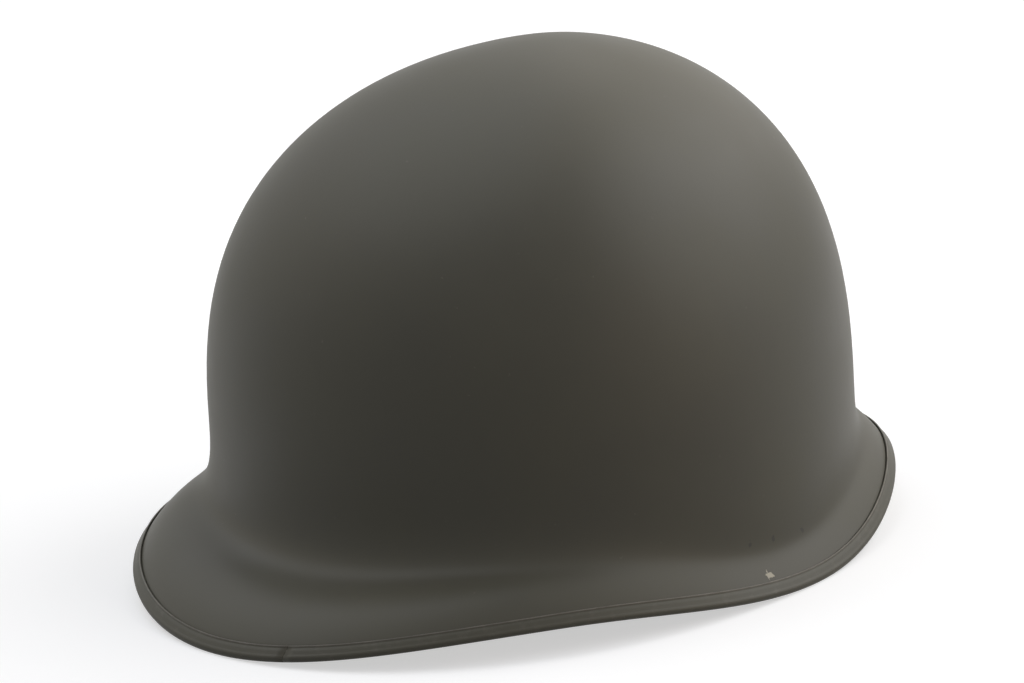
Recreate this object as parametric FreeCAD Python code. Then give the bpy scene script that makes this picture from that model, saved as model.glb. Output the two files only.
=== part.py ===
import FreeCAD, Part
import math
import os
from FreeCAD import Vector

# A steel combat helmet over the hard liner that carries it on the head. All lengths are
# millimetres. The front is -Y, the wearer's left is +X and up is +Z. The origin is on the
# table that the helmet stands on, under the middle of its outline. An angle round the
# helmet starts at the front, is 90 degrees at the wearer's left ear and 180 at the rear.
# A level on the bowl's skin is 0 at the rim, 1 at the foot of the wall and 2 at the crown.

# Rim of the helmet, seen from above
rim_half_width = 120.0
rim_front_reach = 152.5
rim_rear_reach = 135.5

# Heights of the rim over the table, which it touches at the visor and beside each ear
temple_angle = 54.0
temple_rise = 9.0
ear_angle = 97.0
rear_quarter_angle = 145.0
rear_quarter_rise = 16.0
rear_rise = 12.0

# Foot of the wall, where the flare of the brim begins, drawn in from the rim
side_flare = 10.5
visor_reach = 47.0
rear_flare = 11.0
wall_half_width = rim_half_width - side_flare
wall_front_reach = rim_front_reach - visor_reach
wall_rear_reach = rim_rear_reach - rear_flare
brim_front_height = 42.0
brim_side_height = 29.0
brim_rear_height = 31.0
visor_slope = 51.0
flare_slope = 56.0
wall_hold_share = 0.69
flare_hold_share = 0.62

# Crown of the bowl
crown_height = 171.0
crown_setback = 21.5
crown_fullness = 2.6

# Drawn steel bowl and the strip folded over its edge
steel_thickness = 1.1
strip_thickness = 0.5
strip_leg = 5.6
strip_fit = 0.25
bead_fullness = 0.15
bead_radius = steel_thickness / 2 + strip_fit + strip_thickness + bead_fullness
seam_angle = 14.0
seam_width = 0.4

# Lug and wire loop for the chin strap, inside the flare beside each ear
lug_angle = 93.0
lug_half_angle = 4.2
lug_plate = 0.7
lug_seat_gap = 0.1
lug_hinge_distance = 14.4
lug_top_distance = 23.5
barrel_seat_gap = 0.3
loop_wire = 2.2
hinge_play = 0.1
loop_width = 24.0
loop_drop = 8.4
loop_corner = 2.4
barrel_end_play = 1.6
barrel_width = loop_width - 2 * (loop_corner + barrel_end_play)

# Pressed fibre liner
liner_thickness = 2.2
liner_wall_gap = 2.9
liner_crown_gap = 0.3
liner_setback = 10.0
liner_ear_relief = 16.0
liner_ear_window = 45.0

# Cotton webs and leather, stacked from the rim's rear upwards
web_thickness = 1.4
nape_rise = 1.5
nape_height = 19.0
nape_gap = 2.5
sweatband_lap = 2.0
headband_height = 25.0
nape_low = rear_quarter_rise + nape_rise
sweatband_low = nape_low + nape_height + nape_gap
headband_low = sweatband_low + sweatband_lap
headband_seat = 2.5
web_lean_play = 1.2
headband_bow = 14.0
strap_web_width = 19.0

# Suspension washers: a plate on the wall and a bar that stands off it
washer_inset = 5.0
washer_height = headband_low + headband_height - washer_inset
washer_foot_width = 12.0
washer_plate = 1.0
washer_standoff = 1.3
washer_drop = 9.0
washer_bar_rise = 11.0
washer_bar_offset = 5.8
washer_bar_radius = 0.9
washer_arm = 1.6
washer_side_play = 1.4
washer_width = strap_web_width + 2 * (washer_side_play + washer_arm)
washer_angles = (30.0, 95.0, 150.0)

# Crown straps and the lace that gathers them
suspension_centre = 18.0
lace_radius = 22.0
lace_drop = 34.0
lace_height = crown_height - lace_drop
lace_thickness = 3.0
lace_corner = 5.0
knot_radius = 3.2
lace_tail = 14.0
lace_tail_lean = 25.0
eye_play = 1.3
lace_play = 0.2
strap_fold = 12.0

# Leather sweatband with its clips and buckle
sweatband_thickness = 1.8
sweatband_height = 34.0
sweatband_gap = 1.2
sweatband_depth = headband_bow + web_thickness + sweatband_gap
clip_thickness = 0.5
clip_width = 9.0
clip_length = 12.0
clip_play = 0.3
buckle_width = 18.0
buckle_height = 28.0
buckle_thickness = 1.2
buckle_bar = 2.4
buckle_gap = 0.8

# Nape webs
nape_angle = 127.0
nape_seat = 0.9
nape_lean_play = 1.0
nape_bow = 17.0
nape_tab_width = 16.0
nape_tab_rise = 18.5
nape_rivet_rise = 12.5
nape_rivet_inset = 6.0
nape_tab_top = nape_low + nape_height + nape_tab_rise
nape_rivet_height = nape_low + nape_rivet_rise
nape_centre_rivet_height = nape_tab_top - nape_rivet_inset

# Rivets, round washers, studs and the front eyelet
rivet_shank_radius = 1.6
rivet_head_radius = 4.5
rivet_head_height = 0.9
rivet_play = 0.2
head_play = 0.7
collar_gap = 0.6
round_washer_radius = 5.0
round_washer_thickness = 0.8
stud_angle = 110.0
stud_height = 36.0
stud_neck_radius = 2.0
stud_cap_radius = 3.2
stud_cap_height = 2.2
stud_neck_length = 2.4
eyelet_height = 96.0
eyelet_bore_radius = 2.0
eyelet_wall = 0.5
eyelet_flange_radius = 4.2
eyelet_flange = 0.5

# Sampling of the formed surfaces
ring_points = 24
band_points = 48
edge_rings = 1
brim_rings = 7
dome_rings = 13
bead_rails = 5
walk_steps = 60
strap_steps = 8
nape_steps = 32
lug_steps = 6
probe_share = 0.002
probe_angle = 0.2

# Fixed facts of a circle, and the overrun of a cut
quarter_turn = 90.0
half_turn = 180.0
full_turn = 360.0
cut_over = 2.0

up = Vector(0, 0, 1)
centre_shift = (rim_front_reach - rim_rear_reach) / 2


def cosine(angle):
    return math.cos(math.radians(angle))


def sine(angle):
    return math.sin(math.radians(angle))


def between(low, high, share):
    return low + (high - low) * share


# The bowl's skin

def ring_point(angle, half_width, front_reach, rear_reach):
    """A point of an egg-shaped ring: its width, and its reach to the front and the rear."""
    mean_reach = (front_reach + rear_reach) / 2
    skew = (rear_reach - front_reach) / 2
    along = skew * cosine(angle) ** 2 - mean_reach * cosine(angle)
    return Vector(half_width * sine(angle), centre_shift + along, 0)


def rim_height(angle):
    """The rim rises and falls between its named stations on cosine curves."""
    turned = abs((angle + half_turn) % full_turn - half_turn)
    stations = ((0, 0), (temple_angle, temple_rise), (ear_angle, 0),
                (rear_quarter_angle, rear_quarter_rise), (half_turn, rear_rise))
    for (start, low), (end, high) in zip(stations, stations[1:]):
        if turned <= end:
            share = (turned - start) / (end - start)
            return between(low, high, (1 - cosine(half_turn * share)) / 2)


def brim_height(angle):
    """Height of the brim's flare, from its front, side and rear values."""
    mean = (brim_front_height + brim_rear_height + 2 * brim_side_height) / 4
    tilt = (brim_front_height - brim_rear_height) / 2
    waist = (brim_front_height + brim_rear_height - 2 * brim_side_height) / 4
    return mean + tilt * cosine(angle) + waist * cosine(2 * angle)


def rim_point(angle):
    return ring_point(angle, rim_half_width, rim_front_reach, rim_rear_reach) + up * rim_height(angle)


def wall_foot(angle):
    foot = ring_point(angle, wall_half_width, wall_front_reach, wall_rear_reach)
    return foot + up * (rim_height(angle) + brim_height(angle))


def brim_point(angle, share):
    """The flare: down the wall's foot, round, and out along the slope of the edge."""
    foot = wall_foot(angle)
    rim = rim_point(angle)
    reach = (rim - foot).Length
    outward = Vector(rim.x - foot.x, rim.y - foot.y, 0).normalize()
    slope = between(flare_slope, visor_slope, (1 + cosine(angle)) / 2)
    edge_direction = outward * cosine(slope) - up * sine(slope)
    foot_handle = foot - up * (reach * wall_hold_share)
    rim_handle = rim - edge_direction * (reach * flare_hold_share)
    rest = 1 - share
    return (rim * rest ** 3 + rim_handle * (3 * rest ** 2 * share)
            + foot_handle * (3 * rest * share ** 2) + foot * share ** 3)


def dome_point(angle, share):
    """The bowl: a round plan drawn in over a full section, up to a crown set back."""
    foot = wall_foot(angle)
    crown = crown_point()
    spread = cosine(quarter_turn * share)
    rise = sine(quarter_turn * share) ** (2 / crown_fullness)
    flat = crown + (foot - crown) * spread
    return Vector(flat.x, flat.y, between(foot.z, crown.z, rise))


def crown_point():
    return Vector(0, centre_shift + crown_setback, crown_height)


def skin_point(angle, level):
    if level <= 1:
        return brim_point(angle, level)
    return dome_point(angle, level - 1)


def skin_normal(angle, level):
    low = max(level - probe_share, 0)
    high = min(level + probe_share, 2 - probe_share)
    round_way = skin_point(angle + probe_angle, level) - skin_point(angle - probe_angle, level)
    up_way = skin_point(angle, high) - skin_point(angle, low)
    return round_way.cross(up_way).normalize()


def under_skin(angle, level, depth):
    """A point at a depth under the bowl's outer skin, square to it."""
    return skin_point(angle, level) - skin_normal(angle, level) * depth


def level_at_distance(angle, distance):
    """The level at a distance from the rim, measured up the skin."""
    walked = 0
    last = skin_point(angle, 0)
    for step in range(1, walk_steps + 1):
        here = skin_point(angle, step / walk_steps)
        stride = (here - last).Length
        if walked + stride >= distance:
            return (step - 1 + (distance - walked) / stride) / walk_steps
        walked += stride
        last = here
    return 1


def level_at_height(angle, height):
    low, high = 0, 2
    for _ in range(walk_steps):
        middle = (low + high) / 2
        if skin_point(angle, middle).z < height:
            low = middle
        else:
            high = middle
    return low


# Rings and skins

def ring_edge(place, count):
    """A closed smooth edge through points at even angles, which share their places on it."""
    points = [place(full_turn * step / count - half_turn) for step in range(count)]
    curve = Part.BSplineCurve()
    curve.interpolate(Points=points, Parameters=[float(step) for step in range(count + 1)],
                      PeriodicFlag=True)
    return curve.toShape()


def rail_band(rails):
    """Faces with straight rulings from rail to rail."""
    return Part.makeLoft([Part.Wire(rail) for rail in rails], False, True).Faces


def spline_edge(points):
    curve = Part.BSplineCurve()
    curve.interpolate(points)
    return curve.toShape()


def sewn_solid(faces):
    shell = Part.makeShell(faces)
    shell.sewShape()
    solid = Part.makeSolid(shell)
    if solid.Volume < 0:
        solid.reverse()
    return solid


def skin_faces(edge_distance, depth):
    """One side of a bowl: brim rings, dome rings and a crown, at a depth under the skin."""
    def brim_level(angle, step):
        if step < edge_rings:
            run = (strip_leg - bead_radius) * step / edge_rings
            return level_at_distance(angle, edge_distance(angle) + run)
        share = (step - edge_rings) / (brim_rings - edge_rings)
        start = level_at_distance(angle, edge_distance(angle) + strip_leg - bead_radius)
        return between(start, 1, share)

    def ring(find_level):
        def place(angle):
            level = find_level(angle)
            return under_skin(angle, level, depth(level))
        return ring_edge(place, ring_points)
    rings = [ring(lambda angle: brim_level(angle, step)) for step in range(brim_rings)]
    rings += [ring(lambda angle: 1 + step / dome_rings) for step in range(dome_rings)]
    crown = Part.Vertex(crown_point() - up * depth(2))
    loft = Part.makeLoft([Part.Wire(edge) for edge in rings] + [crown], False, True)
    return rings[0], loft.Faces


def bowl(edge_distance, outer_depth, thickness):
    outer_edge, outer_faces = skin_faces(edge_distance, outer_depth)
    inner_edge, inner_faces = skin_faces(edge_distance, lambda level: outer_depth(level) + thickness)
    return sewn_solid(outer_faces + inner_faces + rail_band([outer_edge, inner_edge]))


# Flat profiles and turned pieces

def profile_face(edges):
    return Part.Face(Part.Wire(Part.__sortEdges__(edges)))


def polygon_face(points):
    return Part.Face(Part.makePolygon(points + points[:1]))


def turned(points):
    """A solid of revolution about the local Z axis, from its outline in radius and height."""
    outline = [Vector(radius, 0, height) for radius, height in points]
    return polygon_face(outline).revolve(Vector(0, 0, 0), up, full_turn)


def domed_head(radius, height, seat, way):
    """A rivet head: a cap of a sphere that sits on a seat and rises one way along Z."""
    sphere_radius = (radius ** 2 + height ** 2) / (2 * height)
    latitude = math.degrees(math.asin(1 - height / sphere_radius))
    centre = Vector(0, 0, seat + way * (height - sphere_radius))
    return Part.makeSphere(sphere_radius, centre, up * way, latitude, quarter_turn, full_turn)


def wire_ring(corners, bend, radius):
    """A closed ring of round wire: straight runs, and a bend of one radius at each corner."""
    solids = []
    ends = []
    for index, corner in enumerate(corners):
        back = (corners[index - 1] - corner).normalize()
        ahead = (corners[(index + 1) % len(corners)] - corner).normalize()
        half_corner = math.acos(back.dot(ahead)) / 2
        setback = bend / math.tan(half_corner)
        centre = corner + (back + ahead).normalize() * (bend / math.sin(half_corner))
        start = corner + back * setback
        disc = Part.Face(Part.Wire(Part.makeCircle(radius, start, back)))
        swing = half_turn - 2 * math.degrees(half_corner)
        solids.append(disc.revolve(centre, ahead.cross(back), swing))
        ends.append((start, corner + ahead * setback))
    for index, (_, leaving) in enumerate(ends):
        run = ends[(index + 1) % len(ends)][0] - leaving
        solids.append(Part.makeCylinder(radius, run.Length, leaving, run))
    return solids[0].fuse(solids[1:]).removeSplitter()


# Places on the liner's inner wall

def wall_gap(level):
    """The liner hangs free at the wall and seats under the crown."""
    spread = cosine(quarter_turn * max(level - 1, 0))
    return between(liner_crown_gap, liner_wall_gap, spread)


def liner_outer_depth(level):
    return steel_thickness + wall_gap(level)


def liner_inner_depth(level):
    return liner_outer_depth(level) + liner_thickness


def level_normal(angle, level):
    normal = skin_normal(angle, level)
    return Vector(normal.x, normal.y, 0).normalize()


def inside_point(angle, height, offset):
    """A point that stands off the liner's inner wall, level with a height."""
    level = level_at_height(angle, height)
    point = skin_point(angle, level)
    depth = liner_inner_depth(level) + offset
    flat = point - level_normal(angle, level) * depth
    return Vector(flat.x, flat.y, height)


def frame(origin, across, upwards, inward):
    """A placement that takes local X, Y and Z to three directions at an origin."""
    return FreeCAD.Placement(FreeCAD.Matrix(
        across.x, upwards.x, inward.x, origin.x,
        across.y, upwards.y, inward.y, origin.y,
        across.z, upwards.z, inward.z, origin.z,
        0, 0, 0, 1))


def wall_frame(angle, height):
    """A frame square to the liner's inner wall: Z points inwards, Y up the wall."""
    level = level_at_height(angle, height)
    inward = -skin_normal(angle, level)
    across = up.cross(inward).normalize()
    origin = under_skin(angle, level, liner_inner_depth(level))
    return frame(origin, across, inward.cross(across), inward)


def upright_frame(angle, height):
    """A frame on the liner's inner wall that stands upright, as the webs do."""
    inward = -level_normal(angle, level_at_height(angle, height))
    return frame(inside_point(angle, height, 0), up.cross(inward), up, inward)


def placed(shape, placement):
    moved = shape.copy()
    moved.Placement = placement.multiply(moved.Placement)
    return moved


def on_wall(shape, angle, height):
    return placed(shape, wall_frame(angle, height))


def upright(shape, angle, height):
    return placed(shape, upright_frame(angle, height))


def both_sides(angles):
    return [side * angle for angle in angles for side in (1, -1)]


# Steel bowl, strip, lugs and loops

def steel_shell():
    return bowl(lambda angle: bead_radius, lambda level: 0, steel_thickness)


def strip_rail(distance, outward):
    """A closed edge round the helmet, at a place on the strip's section."""
    def place(angle):
        return under_skin(angle, level_at_distance(angle, distance), -outward)
    return ring_edge(place, ring_points)


def bead_arc(radius, half_gap):
    """The places round a fold, from the outer leg down round the edge to the inner leg."""
    start = math.degrees(math.asin(half_gap / radius))
    middle = -steel_thickness / 2
    places = []
    for step in range(bead_rails):
        turn = between(start, full_turn - start, step / (bead_rails - 1))
        places.append((bead_radius + radius * cosine(turn), middle + radius * sine(turn)))
    return places


def rim_strip():
    inner_half = steel_thickness / 2 + strip_fit
    outer_half = inner_half + strip_thickness
    middle = -steel_thickness / 2
    outside = [strip_rail(*place) for place in bead_arc(bead_radius, outer_half)]
    inside = [strip_rail(*place) for place in bead_arc(bead_radius - strip_thickness, inner_half)]
    outer_face, outer_seat, inner_seat, inner_face = [
        [strip_rail(strip_leg, middle + offset)]
        for offset in (outer_half, inner_half, -inner_half, -outer_half)]
    round_outside = outer_face + outside + inner_face
    round_inside = inner_seat + inside[::-1] + outer_seat
    strip = sewn_solid(rail_band(round_outside + round_inside + outer_face))
    return strip.cut(seam_slot())


def seam_slot():
    """The gap between the two ends of the strip."""
    height = 2 * strip_leg
    slot = Part.makeBox(seam_width, 2 * height, 2 * height,
                        Vector(-seam_width / 2, -height, -height))
    slot.rotate(Vector(0, 0, 0), up, seam_angle)
    slot.translate(rim_point(seam_angle))
    return slot


def barrel_radius():
    return loop_wire / 2 + hinge_play + lug_plate


def hinge_frame():
    """The left loop's hinge: X points outwards, Y along the rim and Z up."""
    level = level_at_distance(lug_angle, lug_hinge_distance)
    origin = under_skin(lug_angle, level, steel_thickness + barrel_seat_gap + barrel_radius())
    outward = level_normal(lug_angle, level)
    return frame(origin, outward, up.cross(outward), up)


def lug_rail(angle):
    """An edge up the steel's inner face, from the hinge to the lug's upper end."""
    distances = [between(lug_hinge_distance, lug_top_distance, step / lug_steps)
                 for step in range(lug_steps + 1)]
    return Part.Wire(spline_edge([
        under_skin(angle, level_at_distance(angle, distance), steel_thickness + lug_seat_gap)
        for distance in distances]))


def loop_lug():
    """A plate formed to the steel's inner face, with a rolled barrel at its lower edge."""
    rails = [lug_rail(lug_angle + side * lug_half_angle) for side in (-1, 0, 1)]
    inward = -level_normal(lug_angle, level_at_distance(lug_angle, lug_hinge_distance))
    plate = Part.makeLoft(rails, False, False).Faces[0].extrude(inward * lug_plate)
    along = Vector(0, 1, 0)
    barrel = Part.makeCylinder(barrel_radius(), barrel_width, along * (-barrel_width / 2), along)
    bore_length = barrel_width + 2 * cut_over
    bore = Part.makeCylinder(loop_wire / 2 + hinge_play, bore_length, along * (-bore_length / 2), along)
    hinge = hinge_frame()
    return plate.fuse(placed(barrel, hinge)).cut(placed(bore, hinge))


def strap_loop():
    half = Vector(0, loop_width / 2, 0)
    drop = up * loop_drop
    corners = [-half, half, half - drop, -half - drop]
    return placed(wire_ring(corners, loop_corner, loop_wire / 2), hinge_frame())


def mirrored(shape):
    return shape.mirror(Vector(0, 0, 0), Vector(1, 0, 0))


# Liner

def liner_edge_distance(angle):
    """The liner ends inside the rim, and rises over each loop lug."""
    from_lug = abs(abs((angle + half_turn) % full_turn - half_turn) - lug_angle)
    relief = 0
    if from_lug < liner_ear_window:
        relief = liner_ear_relief * (1 + cosine(half_turn * from_lug / liner_ear_window)) / 2
    return liner_setback + relief


def wall_holes():
    """Every hole through the liner's wall: place and radius."""
    shank = rivet_shank_radius + rivet_play
    holes = [(angle, washer_height, shank) for angle in both_sides(washer_angles)]
    holes += [(angle, nape_rivet_height, shank) for angle in both_sides((nape_angle,))]
    holes += [(half_turn, nape_centre_rivet_height, shank)]
    holes += [(angle, stud_height, shank) for angle in both_sides((stud_angle,))]
    holes += [(0, eyelet_height, eyelet_bore_radius + eyelet_wall + rivet_play)]
    return holes


def liner_shell():
    shell = bowl(liner_edge_distance, liner_outer_depth, liner_thickness)
    length = 2 * (liner_thickness + cut_over)
    for angle, height, radius in wall_holes():
        drill = Part.makeCylinder(radius, length, Vector(0, 0, -length / 2), up)
        shell = shell.cut(on_wall(drill, angle, height))
    return shell


# Rivets and the small metal pieces

def through_rivet(stack):
    """A rivet from outside the liner's wall through a stack of web and washer inside it."""
    outer_seat = -liner_thickness - head_play
    shank = Part.makeCylinder(rivet_shank_radius, stack - outer_seat, Vector(0, 0, outer_seat), up)
    outer_head = domed_head(rivet_head_radius, rivet_head_height, outer_seat, -1)
    inner_head = domed_head(rivet_head_radius, rivet_head_height, stack, 1)
    return shank.fuse([outer_head, inner_head])


def washer_stack():
    return headband_seat + web_thickness + web_lean_play


def nape_washer_seat(angle):
    """The nape band stands upright where the wall leans, so its washers sit further off."""
    lean = 0 if angle == half_turn else nape_lean_play
    return nape_seat + web_thickness + clip_play + lean


def nape_stack(angle):
    return nape_washer_seat(angle) + round_washer_thickness + rivet_play


def suspension_rivets():
    return [on_wall(through_rivet(washer_stack()), angle, washer_height)
            for angle in both_sides(washer_angles)]


def nape_places():
    places = [(angle, nape_rivet_height) for angle in both_sides((nape_angle,))]
    return places + [(half_turn, nape_centre_rivet_height)]


def nape_rivets():
    return [on_wall(through_rivet(nape_stack(angle)), angle, height)
            for angle, height in nape_places()]


def round_washer(seat):
    outer = Part.makeCylinder(round_washer_radius, round_washer_thickness, Vector(0, 0, seat), up)
    hole = Part.makeCylinder(rivet_shank_radius + rivet_play, round_washer_thickness,
                             Vector(0, 0, seat), up)
    return outer.cut(hole)


def nape_washers():
    return [on_wall(round_washer(nape_washer_seat(angle)), angle, height)
            for angle, height in nape_places()]


def suspension_washer():
    """A plate on the wall, bent inwards at the top, windowed, and ending in a round bar."""
    rise = washer_bar_rise
    offset = washer_bar_offset
    bend = rise / 2
    seat = washer_standoff
    face = seat + washer_plate
    half = washer_width / 2
    outline = [(-washer_drop, seat), (-washer_drop, face), (bend, face),
               (rise, offset + washer_plate / 2), (rise, offset - washer_plate / 2), (bend, seat)]
    section = polygon_face([Vector(-half, y, z) for y, z in outline])
    plate = section.extrude(Vector(washer_width, 0, 0))
    along = Vector(1, 0, 0)
    bar = Part.makeCylinder(washer_bar_radius, washer_width, Vector(-half, rise, offset), along)
    foot_half = washer_foot_width / 2
    front = polygon_face([Vector(-foot_half, -washer_drop, 0), Vector(foot_half, -washer_drop, 0),
                          Vector(half, 0, 0), Vector(half, rise + cut_over, 0),
                          Vector(-half, rise + cut_over, 0), Vector(-half, 0, 0)])
    blank = front.extrude(up * (offset + cut_over))
    window_low = bend - washer_bar_radius
    window_half = half - washer_arm
    window = Part.makeBox(2 * window_half, rise - window_low - washer_bar_radius,
                          offset + 2 * cut_over, Vector(-window_half, window_low, 0))
    gap_over = Part.makeBox(2 * window_half, cut_over + washer_bar_radius, offset + 2 * cut_over,
                            Vector(-window_half, rise - washer_bar_radius, 0))
    hole = Part.makeCylinder(rivet_shank_radius + rivet_play, 2 * cut_over + face,
                             Vector(0, 0, -cut_over), up)
    return plate.common(blank).cut(window).cut(gap_over).cut(hole).fuse(bar).removeSplitter()


def suspension_washers():
    return [on_wall(suspension_washer(), angle, washer_height) for angle in both_sides(washer_angles)]


def liner_strap_stud():
    outer_seat = -liner_thickness - head_play
    head = domed_head(rivet_head_radius, rivet_head_height, outer_seat, -1)
    shank = Part.makeCylinder(rivet_shank_radius, rivet_head_height - outer_seat,
                              Vector(0, 0, outer_seat), up)
    collar = Part.makeCylinder(rivet_head_radius, rivet_head_height, Vector(0, 0, collar_gap), up)
    neck = Part.makeCylinder(stud_neck_radius, stud_neck_length, Vector(0, 0, rivet_head_height), up)
    cap_seat = rivet_head_height + stud_neck_length / 2
    cap = Part.makeCylinder(stud_cap_radius, stud_cap_height / 2, Vector(0, 0, cap_seat), up)
    crown = domed_head(stud_cap_radius, stud_cap_height / 2, cap_seat + stud_cap_height / 2, 1)
    return head.fuse([shank, collar, neck, cap, crown])


def liner_strap_studs():
    return [on_wall(liner_strap_stud(), angle, stud_height) for angle in both_sides((stud_angle,))]


def front_eyelet():
    """A flanged tube through the liner's front."""
    tube_radius = eyelet_bore_radius + eyelet_wall
    outer_seat = -liner_thickness - head_play
    outer_face = outer_seat - eyelet_flange
    outline = [(eyelet_bore_radius, outer_face), (eyelet_flange_radius, outer_face),
               (eyelet_flange_radius, outer_seat), (tube_radius, outer_seat), (tube_radius, collar_gap),
               (eyelet_flange_radius, collar_gap), (eyelet_flange_radius, collar_gap + eyelet_flange),
               (eyelet_bore_radius, collar_gap + eyelet_flange)]
    return on_wall(turned(outline), 0, eyelet_height)


# Webs and leather

def standing_band(outer_place, thickness, low, height):
    """A closed band that stands upright, from the offset of its outer face at each angle."""
    top = low + height

    def rail(level, extra):
        def place(angle):
            point = inside_point(angle, top, outer_place(angle) + extra)
            return Vector(point.x, point.y, level)
        return ring_edge(place, band_points)
    outer_low, outer_top = rail(low, 0), rail(top, 0)
    inner_top, inner_low = rail(top, thickness), rail(low, thickness)
    return sewn_solid(rail_band([outer_low, outer_top, inner_top, inner_low, outer_low]))


def headband_offset(angle):
    """The headband lies on the six washers and bows inwards between them."""
    swung = abs((angle + half_turn) % full_turn - half_turn)
    stops = (-washer_angles[0],) + washer_angles + (full_turn - washer_angles[-1],)
    for start, end in zip(stops, stops[1:]):
        if start <= swung <= end:
            share = (swung - start) / (end - start)
            return between(headband_seat, headband_bow, (1 - cosine(full_turn * share)) / 2)


def drilled(band, angles, height):
    hole = Part.makeCylinder(rivet_shank_radius + rivet_play, headband_bow, Vector(0, 0, 0), up)
    for angle in angles:
        band = band.cut(on_wall(hole, angle, height))
    return band


def headband_web():
    band = standing_band(headband_offset, web_thickness, headband_low, headband_height)
    return drilled(band, both_sides(washer_angles), washer_height)


def sweatband():
    return standing_band(lambda angle: sweatband_depth, sweatband_thickness,
                         sweatband_low, sweatband_height)


def clip_angles():
    first, second, third = washer_angles
    return [0, half_turn] + both_sides(((first + second) / 2, (second + third) / 2))


def sweatband_clip():
    """A spring clip folded over the headband's upper edge."""
    web_face = headband_bow
    outer = web_face - clip_play
    inner = web_face + web_thickness + clip_play
    top = clip_play
    low = top - clip_length
    half = clip_width / 2
    leg_outline = [(low, outer - clip_thickness), (top + clip_thickness, outer - clip_thickness),
                   (top + clip_thickness, inner + clip_thickness), (low, inner + clip_thickness),
                   (low, inner), (top, inner), (top, outer), (low, outer)]
    section = polygon_face([Vector(-half, y, z) for y, z in leg_outline])
    return section.extrude(Vector(clip_width, 0, 0))


def sweatband_clips():
    top = headband_low + headband_height
    return [upright(sweatband_clip(), angle, top) for angle in clip_angles()]


def sweatband_buckle():
    """A flat slide with two windows, inside the sweatband at the rear."""
    seat = sweatband_depth + sweatband_thickness + buckle_gap
    middle = -sweatband_height / 2
    slide = Part.makeBox(buckle_width, buckle_height, buckle_thickness,
                         Vector(-buckle_width / 2, middle - buckle_height / 2, seat))
    window_width = (buckle_width - 3 * buckle_bar) / 2
    window_height = buckle_height - 2 * buckle_bar
    for side in (-1, 1):
        centre = side * (window_width + buckle_bar) / 2
        window = Part.makeBox(window_width, window_height, buckle_thickness + 2 * cut_over,
                              Vector(centre - window_width / 2, middle - window_height / 2, seat - cut_over))
        slide = slide.cut(window)
    return upright(slide, half_turn, sweatband_low + sweatband_height)


# Crown straps

def strap_axes(angle):
    """The reach and way out from the suspension's centre to a washer's bar, and its height."""
    bar = wall_frame(angle, washer_height).multVec(Vector(0, washer_bar_rise, washer_bar_offset))
    out = Vector(bar.x, bar.y - suspension_centre, 0)
    return out.Length, out.normalize(), bar.z


def strap_point(angle, radius, height):
    _, out, _ = strap_axes(angle)
    return Vector(out.x * radius, suspension_centre + out.y * radius, height)


def bar_hole():
    return washer_bar_radius + eye_play


def lace_hole():
    return lace_thickness / 2 + lace_play


def strap_arch(angle):
    """The quarter ellipse of a strap: its inner end, and its span and climb."""
    bar_radius, _, bar_height = strap_axes(angle)
    inner = lace_radius + lace_hole() + web_thickness / 2
    low = bar_height + bar_hole() + web_thickness / 2
    return inner, low, bar_radius - inner, lace_height - low


def strap_curve(angle, turn, offset):
    """A point of the strap's arch, from the washer's bar to the lace, offset inwards."""
    inner, low, span, climb = strap_arch(angle)
    slope = Vector(climb * cosine(turn), span * sine(turn), 0).normalize()
    radius = inner + span * cosine(turn) - slope.x * offset
    height = low + climb * sine(turn) - slope.y * offset
    return strap_point(angle, radius, height)


def strap_layer(angle, start_turn, end_turn, high, low):
    """A layer of web along part of the arch, as a flat face."""
    turns = [between(start_turn, end_turn, step / strap_steps) for step in range(strap_steps + 1)]
    outer = [strap_curve(angle, turn, high) for turn in turns]
    inner = [strap_curve(angle, turn, low) for turn in turns]
    return profile_face([spline_edge(outer), spline_edge(inner),
                         Part.makeLine(outer[0], inner[0]), Part.makeLine(outer[-1], inner[-1])])


def eye_face(angle, radius, height, hole):
    _, out, _ = strap_axes(angle)
    centre = strap_point(angle, radius, height)
    across = up.cross(out)
    outer = Part.Wire(Part.makeCircle(hole + web_thickness, centre, across))
    inner = Part.Wire(Part.makeCircle(hole, centre, across))
    return Part.Face(outer).cut(Part.Face(inner))


def crown_strap(angle):
    """A web folded round the bar below and the lace above, and sewn back on itself."""
    bar_radius, out, bar_height = strap_axes(angle)
    across = up.cross(out)
    _, _, span, climb = strap_arch(angle)
    fold_turn = quarter_turn * strap_fold / ((span + climb) / 2 * math.radians(quarter_turn))
    web = web_thickness
    faces = [strap_layer(angle, 0, quarter_turn, -web, 0),
             strap_layer(angle, 0, fold_turn, -web / 2, web),
             strap_layer(angle, quarter_turn - fold_turn, quarter_turn, -web / 2, web),
             eye_face(angle, bar_radius, bar_height, bar_hole()),
             eye_face(angle, lace_radius, lace_height, lace_hole())]
    slabs = [face.extrude(across * strap_web_width) for face in faces]
    strap = slabs[0].fuse(slabs[1:]).removeSplitter()
    strap.translate(across * (-strap_web_width / 2))
    return strap


def lace_corners():
    """Corners of the ring that the lace is pulled into by the six straps."""
    angles = sorted(both_sides(washer_angles))
    lines = []
    for angle in angles:
        _, out, _ = strap_axes(angle)
        lines.append(out)
    corners = []
    for index, out in enumerate(lines):
        neighbour = lines[(index + 1) % len(lines)]
        half_way = (out + neighbour).normalize()
        reach = lace_radius / half_way.dot(out)
        corners.append(Vector(half_way.x * reach, suspension_centre + half_way.y * reach, lace_height))
    return corners


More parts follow.
